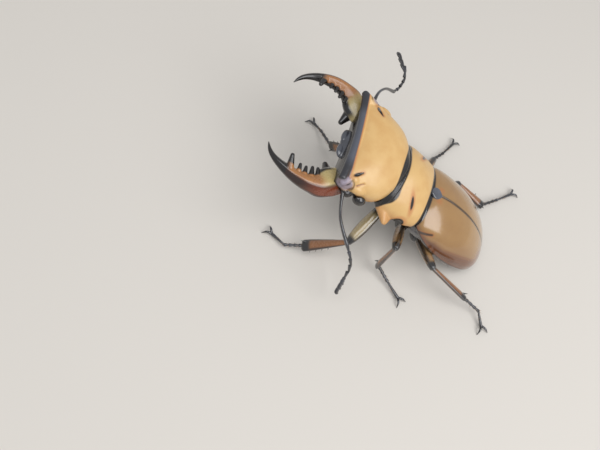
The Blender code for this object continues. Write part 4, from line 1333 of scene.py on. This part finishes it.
class BEETLE_OT_underbody(bpy.types.Operator):
    """Chest, and belly with overlapping plates"""

    bl_idname = "beetle.underbody"
    bl_label = "Underbody"

    def execute(self, context):
        rings = [trunk_ring(row, TRUNK_SIDES) for row in smooth(CHEST_RINGS, TRUNK_STEPS)]
        chest = make_object("chest", [shell(rings)], FRAMES["cases"])
        finish_piece(chest, finish_of(black_chitin), "black_horn", "metathorax")
        rings = []
        for row in smooth(BELLY_RINGS, 14):
            ahead = [edge - row[0] for edge in BELLY_PLATES if edge > row[0]]
            step = min(1.0, max(ahead, default=0.0) / BELLY_PLATE_LENGTH)
            nearest = min(ahead, default=BELLY_PLATE_LENGTH)
            rise = BELLY_STEP * (1.0 - min(1.0, nearest / BELLY_PLATE_LENGTH)) * min(1.0, step * 20.0)
            ring = trunk_ring(row, TRUNK_SIDES)
            rings.append([point - UP * rise if point.z < row[2] else point for point in ring])
        belly = make_object("belly", [shell(rings)], FRAMES["cases"])
        forward = places(belly, FRAMES["cases"])[1]
        lines = np.min([np.abs(forward - edge) for edge in BELLY_PLATES], axis=0)
        mark(belly, "dark", spot(lines, 0.16, 0.2))
        finish_piece(belly, finish_of(belly_chitin), "umber_horn", "abdomen")
        return {"FINISHED"}


def floor_place(place):
    """Place in the model's space of one given round the floor point."""
    return FLOOR_POINT + Vector(place)


def keep_above_floor(piece):
    """Flatten what would reach below the floor."""
    for vert in piece.data.vertices:
        vert.co.z = max(vert.co.z, 0.0)


def limb(path, sizes, over, sides, ridge):
    """Rounded limb with shallow ridges along it."""
    def section(angle):
        swell = 1.0 + ridge * math.cos(4.0 * angle)
        return swell * math.cos(angle), swell * math.sin(angle)

    rows = smooth([(*point, *size) for point, size in zip(path, sizes)], 8)
    return rounded_rows(rows, over, sides, (0.7, 0.5), section)


class BEETLE_OT_legs(bpy.types.Operator):
    """Six legs: hips, thighs, spined shins, jointed feet and claws"""

    bl_idname = "beetle.legs"
    bl_label = "Legs"

    def execute(self, context):
        for name in LEGS:
            carrier, hip, *rest = LEGS[name]
            knee, shin_end, foot_joint, foot_end = (floor_place(p) for p in rest)
            pair = name.split("_")[0]
            hip_point = FRAMES[carrier] @ Vector(hip)
            bend = (knee - hip_point).cross(shin_end - knee).normalized()
            self.hip(name, FRAMES[carrier], hip)
            self.thigh(name, hip_point, knee, bend)
            self.shin(name, pair, hip_point, knee, shin_end, bend)
            self.foot(name, shin_end, foot_joint, foot_end)
        return {"FINISHED"}

    def hip(self, name, place, hip):
        """Round joint that carries the leg."""
        coxa = make_object("hip_" + name, [dome(Vector(hip), HIP_RADII, 20, 36)], place)
        finish_piece(coxa, finish_of(black_chitin), "black_horn", "coxa_" + name)

    def thigh(self, name, hip_point, knee, bend):
        """Thick limb from the hip to the knee; the near fore one shows the palest band, whose colour is
        darkened as a painted shadow of the head.
        """
        path = between(hip_point, knee, (0.0, 0.3, 0.6, 0.85, 1.0))
        thigh = make_object("thigh_" + name, [limb(path, THIGH_SIZES, bend, 28, 0.015)])
        self.band(thigh, hip_point, knee, THIGH_BAND, bend, 1.0 if name == "fore_left" else 0.4)
        finish_piece(thigh, finish_of(leg_chitin), "umber_horn", "femur_" + name)

    def shin(self, name, pair, hip_point, knee, end, bend):
        """Flat limb that widens to its end, with spines on its outer edge and two spurs at its end."""
        path = between(knee, end, (0.0, 0.25, 0.5, 0.8, 1.0))
        sizes = FORE_SHIN_SIZES if pair == "fore" else SHIN_SIZES
        along = (end - knee).normalized()
        thigh = knee - hip_point
        outward = (thigh - along * thigh.dot(along)).normalized()
        shells = [limb(path, sizes, bend, 28, 0.04)]
        count = SHIN_SPINES[pair]
        for index in range(count):
            share = 0.35 + 0.55 * (index + 0.5) / count
            middle = knee.lerp(end, share)
            width = sizes[0][0] + (sizes[-1][0] - sizes[0][0]) * share
            tip = middle + outward * (width + SHIN_SPINE_LENGTH) + along * SHIN_SPINE_LENGTH * 0.6
            shells.append(spike(middle, tip, SHIN_SPINE_RADIUS))
        sideways = along.cross(outward)
        depth = sizes[-1][1]
        for turn in (1.0, -1.0):
            root = end - along * 0.6 + sideways * turn * depth * 0.4 - outward * depth
            tip = end + sideways * turn * (depth + SHIN_SPUR_LENGTH * 0.4) + along * SHIN_SPUR_LENGTH * 0.35
            tip -= outward * SHIN_SPUR_LENGTH * 0.7
            shells.append(spike(root, tip, SHIN_SPINE_RADIUS))
        shin = make_object("shin_" + name, shells)
        self.band(shin, knee, end, SHIN_BAND, bend, 0.0)
        finish_piece(shin, finish_of(leg_chitin), "umber_horn", "tibia_" + name)

    def band(self, piece, start, end, reach, bend, pale):
        """Light band along the limb, black at its two ends and along its narrow edges."""
        x, y, z = places(piece)
        along = np.array(end - start)
        length = np.linalg.norm(along)
        along /= length
        points = np.stack([x, y, z], axis=1) - np.array(start)
        share = points @ along / length
        off = points - np.outer(points @ along, along)
        flat = np.abs(off @ np.array(bend)) / np.maximum(np.linalg.norm(off, axis=1), 1e-6)
        first, last = reach
        ends = np.maximum(1.0 - ease(share, first - 0.1, first + 0.02), ease(share, last - 0.03, last + 0.06))
        edges = 1.0 - ease(flat, 0.25, 0.6)
        mark(piece, "pale", np.full(len(share), pale))
        mark(piece, "dark", np.maximum(ends, edges * 0.9))

    def foot(self, name, start, joint, end):
        """Four flaring joints, a long last one and two claws whose tips rest on the floor."""
        shells = []
        for index in range(FOOT_JOINTS):
            first = start.lerp(joint, (index - 0.12) / FOOT_JOINTS)
            last = start.lerp(joint, (index + 1.0) / FOOT_JOINTS)
            path = between(first, last, (0.0, 0.4, 0.8, 1.0))
            shells.append(rounded(path, FOOT_JOINT_SIZES, UP, 16, (0.5, 0.35)))
        path = between(joint, end, (0.0, 0.35, 0.7, 1.0))
        shells.append(rounded(path, LAST_JOINT_SIZES, UP, 16, (0.5, 0.5)))
        ahead = Vector((end.x - joint.x, end.y - joint.y, 0.0)).normalized()
        for turn in (1.0, -1.0):
            way = Matrix.Rotation(math.radians(turn * CLAW_SPREAD), 3, "Z") @ ahead
            root = end - ahead * 0.25
            middle = end + way * CLAW_LENGTH * 0.5 + UP * (CLAW_ARCH - 0.1)
            tip = end + way * CLAW_LENGTH - UP * (end.z - CLAW_TIP_RADIUS)
            rows = smooth([(*root, CLAW_RADIUS), (*middle, CLAW_RADIUS * 0.8), (*tip, CLAW_TIP_RADIUS)], 7)
            shells.append(rounded_rows(rows, UP, 12, (0.5, 0.8)))
        foot = make_object("foot_" + name, shells)
        keep_above_floor(foot)
        finish_piece(foot, finish_of(black_chitin), "black_horn", "tarsus_" + name)


def bristle_tree(material):
    """Nodes that stand short hairs on a surface, leaning with the limb."""
    tree, enter, keys = shape_tree("bristles", {"Limb": "Geometry", "Density": "Float", "Length": "Float",
                                                "Lean": "Vector", "Seed": "Int"})
    spread = add(tree, "GeometryNodeDistributePointsOnFaces", None,
                 {"Mesh": enter["Limb"], "Density": enter["Density"], "Seed": enter["Seed"]})
    hair = add(tree, "GeometryNodeMeshCone",
               {"Vertices": 5, "Side Segments": 2,
                "Radius Top": BRISTLE_RADII[1], "Radius Bottom": BRISTLE_RADII[0]},
               {"Depth": enter["Length"]})
    lean = add(tree, "ShaderNodeVectorMath", {"operation": "ADD"},
               {0: spread.outputs["Normal"], 1: enter["Lean"]})
    size = add(tree, "FunctionNodeRandomValue",
               {"data_type": "FLOAT", 2: BRISTLE_SCALES[0], 3: BRISTLE_SCALES[1]}, {"Seed": enter["Seed"]})
    set_copies(tree, spread.outputs["Points"], hair.outputs["Mesh"], lean.outputs["Vector"], material,
               size.outputs[1])
    return tree, keys


class BEETLE_OT_bristles(bpy.types.Operator):
    """Short stiff hairs on the feet"""

    bl_idname = "beetle.bristles"
    bl_label = "Bristles"

    def execute(self, context):
        sizes = context.scene.beetle_sizes
        material = finish_of(bristle_chitin)
        tree, keys = bristle_tree(material)
        for name in LEGS:
            start, joint, end = (floor_place(p) for p in LEGS[name][3:6])
            path = [start, start.lerp(joint, 0.5), joint, joint.lerp(end, 0.6)]
            core = make_object("core", [shell(sweep(path, [(0.2, 0.2)] * 4, UP, 8))])
            hairs = core.modifiers.new("bristles", "NODES")
            hairs.node_group = tree
            hairs[keys["Density"]] = sizes.bristle_density
            hairs[keys["Length"]] = sizes.bristle_length
            hairs[keys["Lean"]] = (end - start).normalized() * BRISTLE_LEAN
            hairs[keys["Seed"]] = sizes.seed
            core.name = "bristles_" + name
            settle(core)
            keep_above_floor(core)
            finish_piece(core, material, "umber_horn")
        return {"FINISHED"}


class BEETLE_OT_stage(bpy.types.Operator):
    """Plain pale floor, soft light and the camera"""

    bl_idname = "beetle.stage"
    bl_label = "Floor, light and camera"

    def execute(self, context):
        self.floor(context.scene.beetle_colours.floor)
        self.lights(context)
        self.camera(context)
        return {"FINISHED"}

    def floor(self, tint):
        """Matt painted floor under the claws."""
        corners = [(x * FLOOR_HALF, y * FLOOR_HALF, 0.0) for x, y in ((-1, -1), (1, -1), (1, 1), (-1, 1))]
        mesh = bpy.data.meshes.new("floor")
        mesh.from_pydata(corners, [], [(0, 1, 2, 3)])
        floor = put("floor", mesh)
        material = bpy.data.materials.new("matt floor paint")
        material.use_nodes = True
        shader = material.node_tree.nodes["Principled BSDF"]
        shader.inputs["Base Color"].default_value = (*tint, 1.0)
        shader.inputs["Roughness"].default_value = 0.75
        mesh.materials.append(material)

    def lamp(self, name, power, way, distance, size, spin, tint):
        """Soft light that shines at the beetle from this direction, turned about it by spin degrees."""
        data = bpy.data.lights.new(name, "AREA")
        data.shape = "RECTANGLE"
        data.size, data.size_y = size
        data.energy = power
        data.color = tint
        light = put(name, data)
        middle = FLOOR_POINT * MM + UP * LAMP_AIM
        way = Vector(way).normalized()
        light.location = middle + way * distance
        turn = Matrix.Rotation(math.radians(spin), 3, "Z")
        light.rotation_euler = (way.to_track_quat("Z", "Y").to_matrix() @ turn).to_euler()

    def lights(self, context):
        """Two soft lights and a pale room."""
        sizes = context.scene.beetle_sizes
        for name, values in LAMPS.items():
            self.lamp(name, getattr(sizes, name + "_power"), *values)
        world = bpy.data.worlds.new("pale room")
        world.use_nodes = True
        back = world.node_tree.nodes["Background"]
        back.inputs["Color"].default_value = (*linear(SKY), 1.0)
        back.inputs["Strength"].default_value = sizes.sky_power
        context.scene.world = world

    def camera(self, context):
        """Camera in the place and roll that the pose was read from."""
        context.scene.view_settings.view_transform = "Standard"
        data = bpy.data.cameras.new("camera")
        data.lens = CAMERA_LENS
        data.clip_start = 0.01
        camera = put("camera", data)
        place = FLOOR_POINT + Vector(CAMERA_PLACE)
        ahead = (FLOOR_POINT + Vector(CAMERA_TARGET) - place).normalized()
        level_right = ahead.cross(UP).normalized()
        right = Matrix.Rotation(math.radians(-CAMERA_ROLL), 3, ahead) @ level_right
        axes = Matrix((right, right.cross(ahead), -ahead)).transposed().to_4x4()
        axes.translation = place * MM
        camera.matrix_world = axes
        context.scene.camera = camera


STEPS = (
    BEETLE_OT_stage,
    BEETLE_OT_underbody,
    BEETLE_OT_head,
    BEETLE_OT_eyes,
    BEETLE_OT_jaws,
    BEETLE_OT_mouth,
    BEETLE_OT_feelers,
    BEETLE_OT_shield,
    BEETLE_OT_scutellum,
    BEETLE_OT_wing_cases,
    BEETLE_OT_legs,
    BEETLE_OT_bristles,
)


class BEETLE_PT_panel(bpy.types.Panel):
    """Buttons that build the beetle piece by piece"""

    bl_idname = "BEETLE_PT_panel"
    bl_label = "Stag beetle"
    bl_space_type = "VIEW_3D"
    bl_region_type = "UI"
    bl_category = "Beetle"

    def draw(self, context):
        for group in (context.scene.beetle_sizes, context.scene.beetle_colours):
            for key in group.__annotations__:
                self.layout.prop(group, key)
        for step in STEPS:
            self.layout.operator(step.bl_idname)


CLASSES = (BeetleColours, BeetleSizes, *STEPS, BEETLE_PT_panel)


def register():
    """Make the panel, its settings and its operators known to Blender."""
    for item in CLASSES:
        bpy.utils.register_class(item)
    bpy.types.Scene.beetle_colours = PointerProperty(type=BeetleColours)
    bpy.types.Scene.beetle_sizes = PointerProperty(type=BeetleSizes)


def unregister():
    """Take them out again."""
    del bpy.types.Scene.beetle_sizes
    del bpy.types.Scene.beetle_colours
    for item in reversed(CLASSES):
        bpy.utils.unregister_class(item)


def main():
    """Build every piece in order."""
    register()
    for step in STEPS:
        group, action = step.bl_idname.split(".")
        getattr(getattr(bpy.ops, group), action)()
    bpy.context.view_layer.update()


if __name__ == "__main__":
    main()
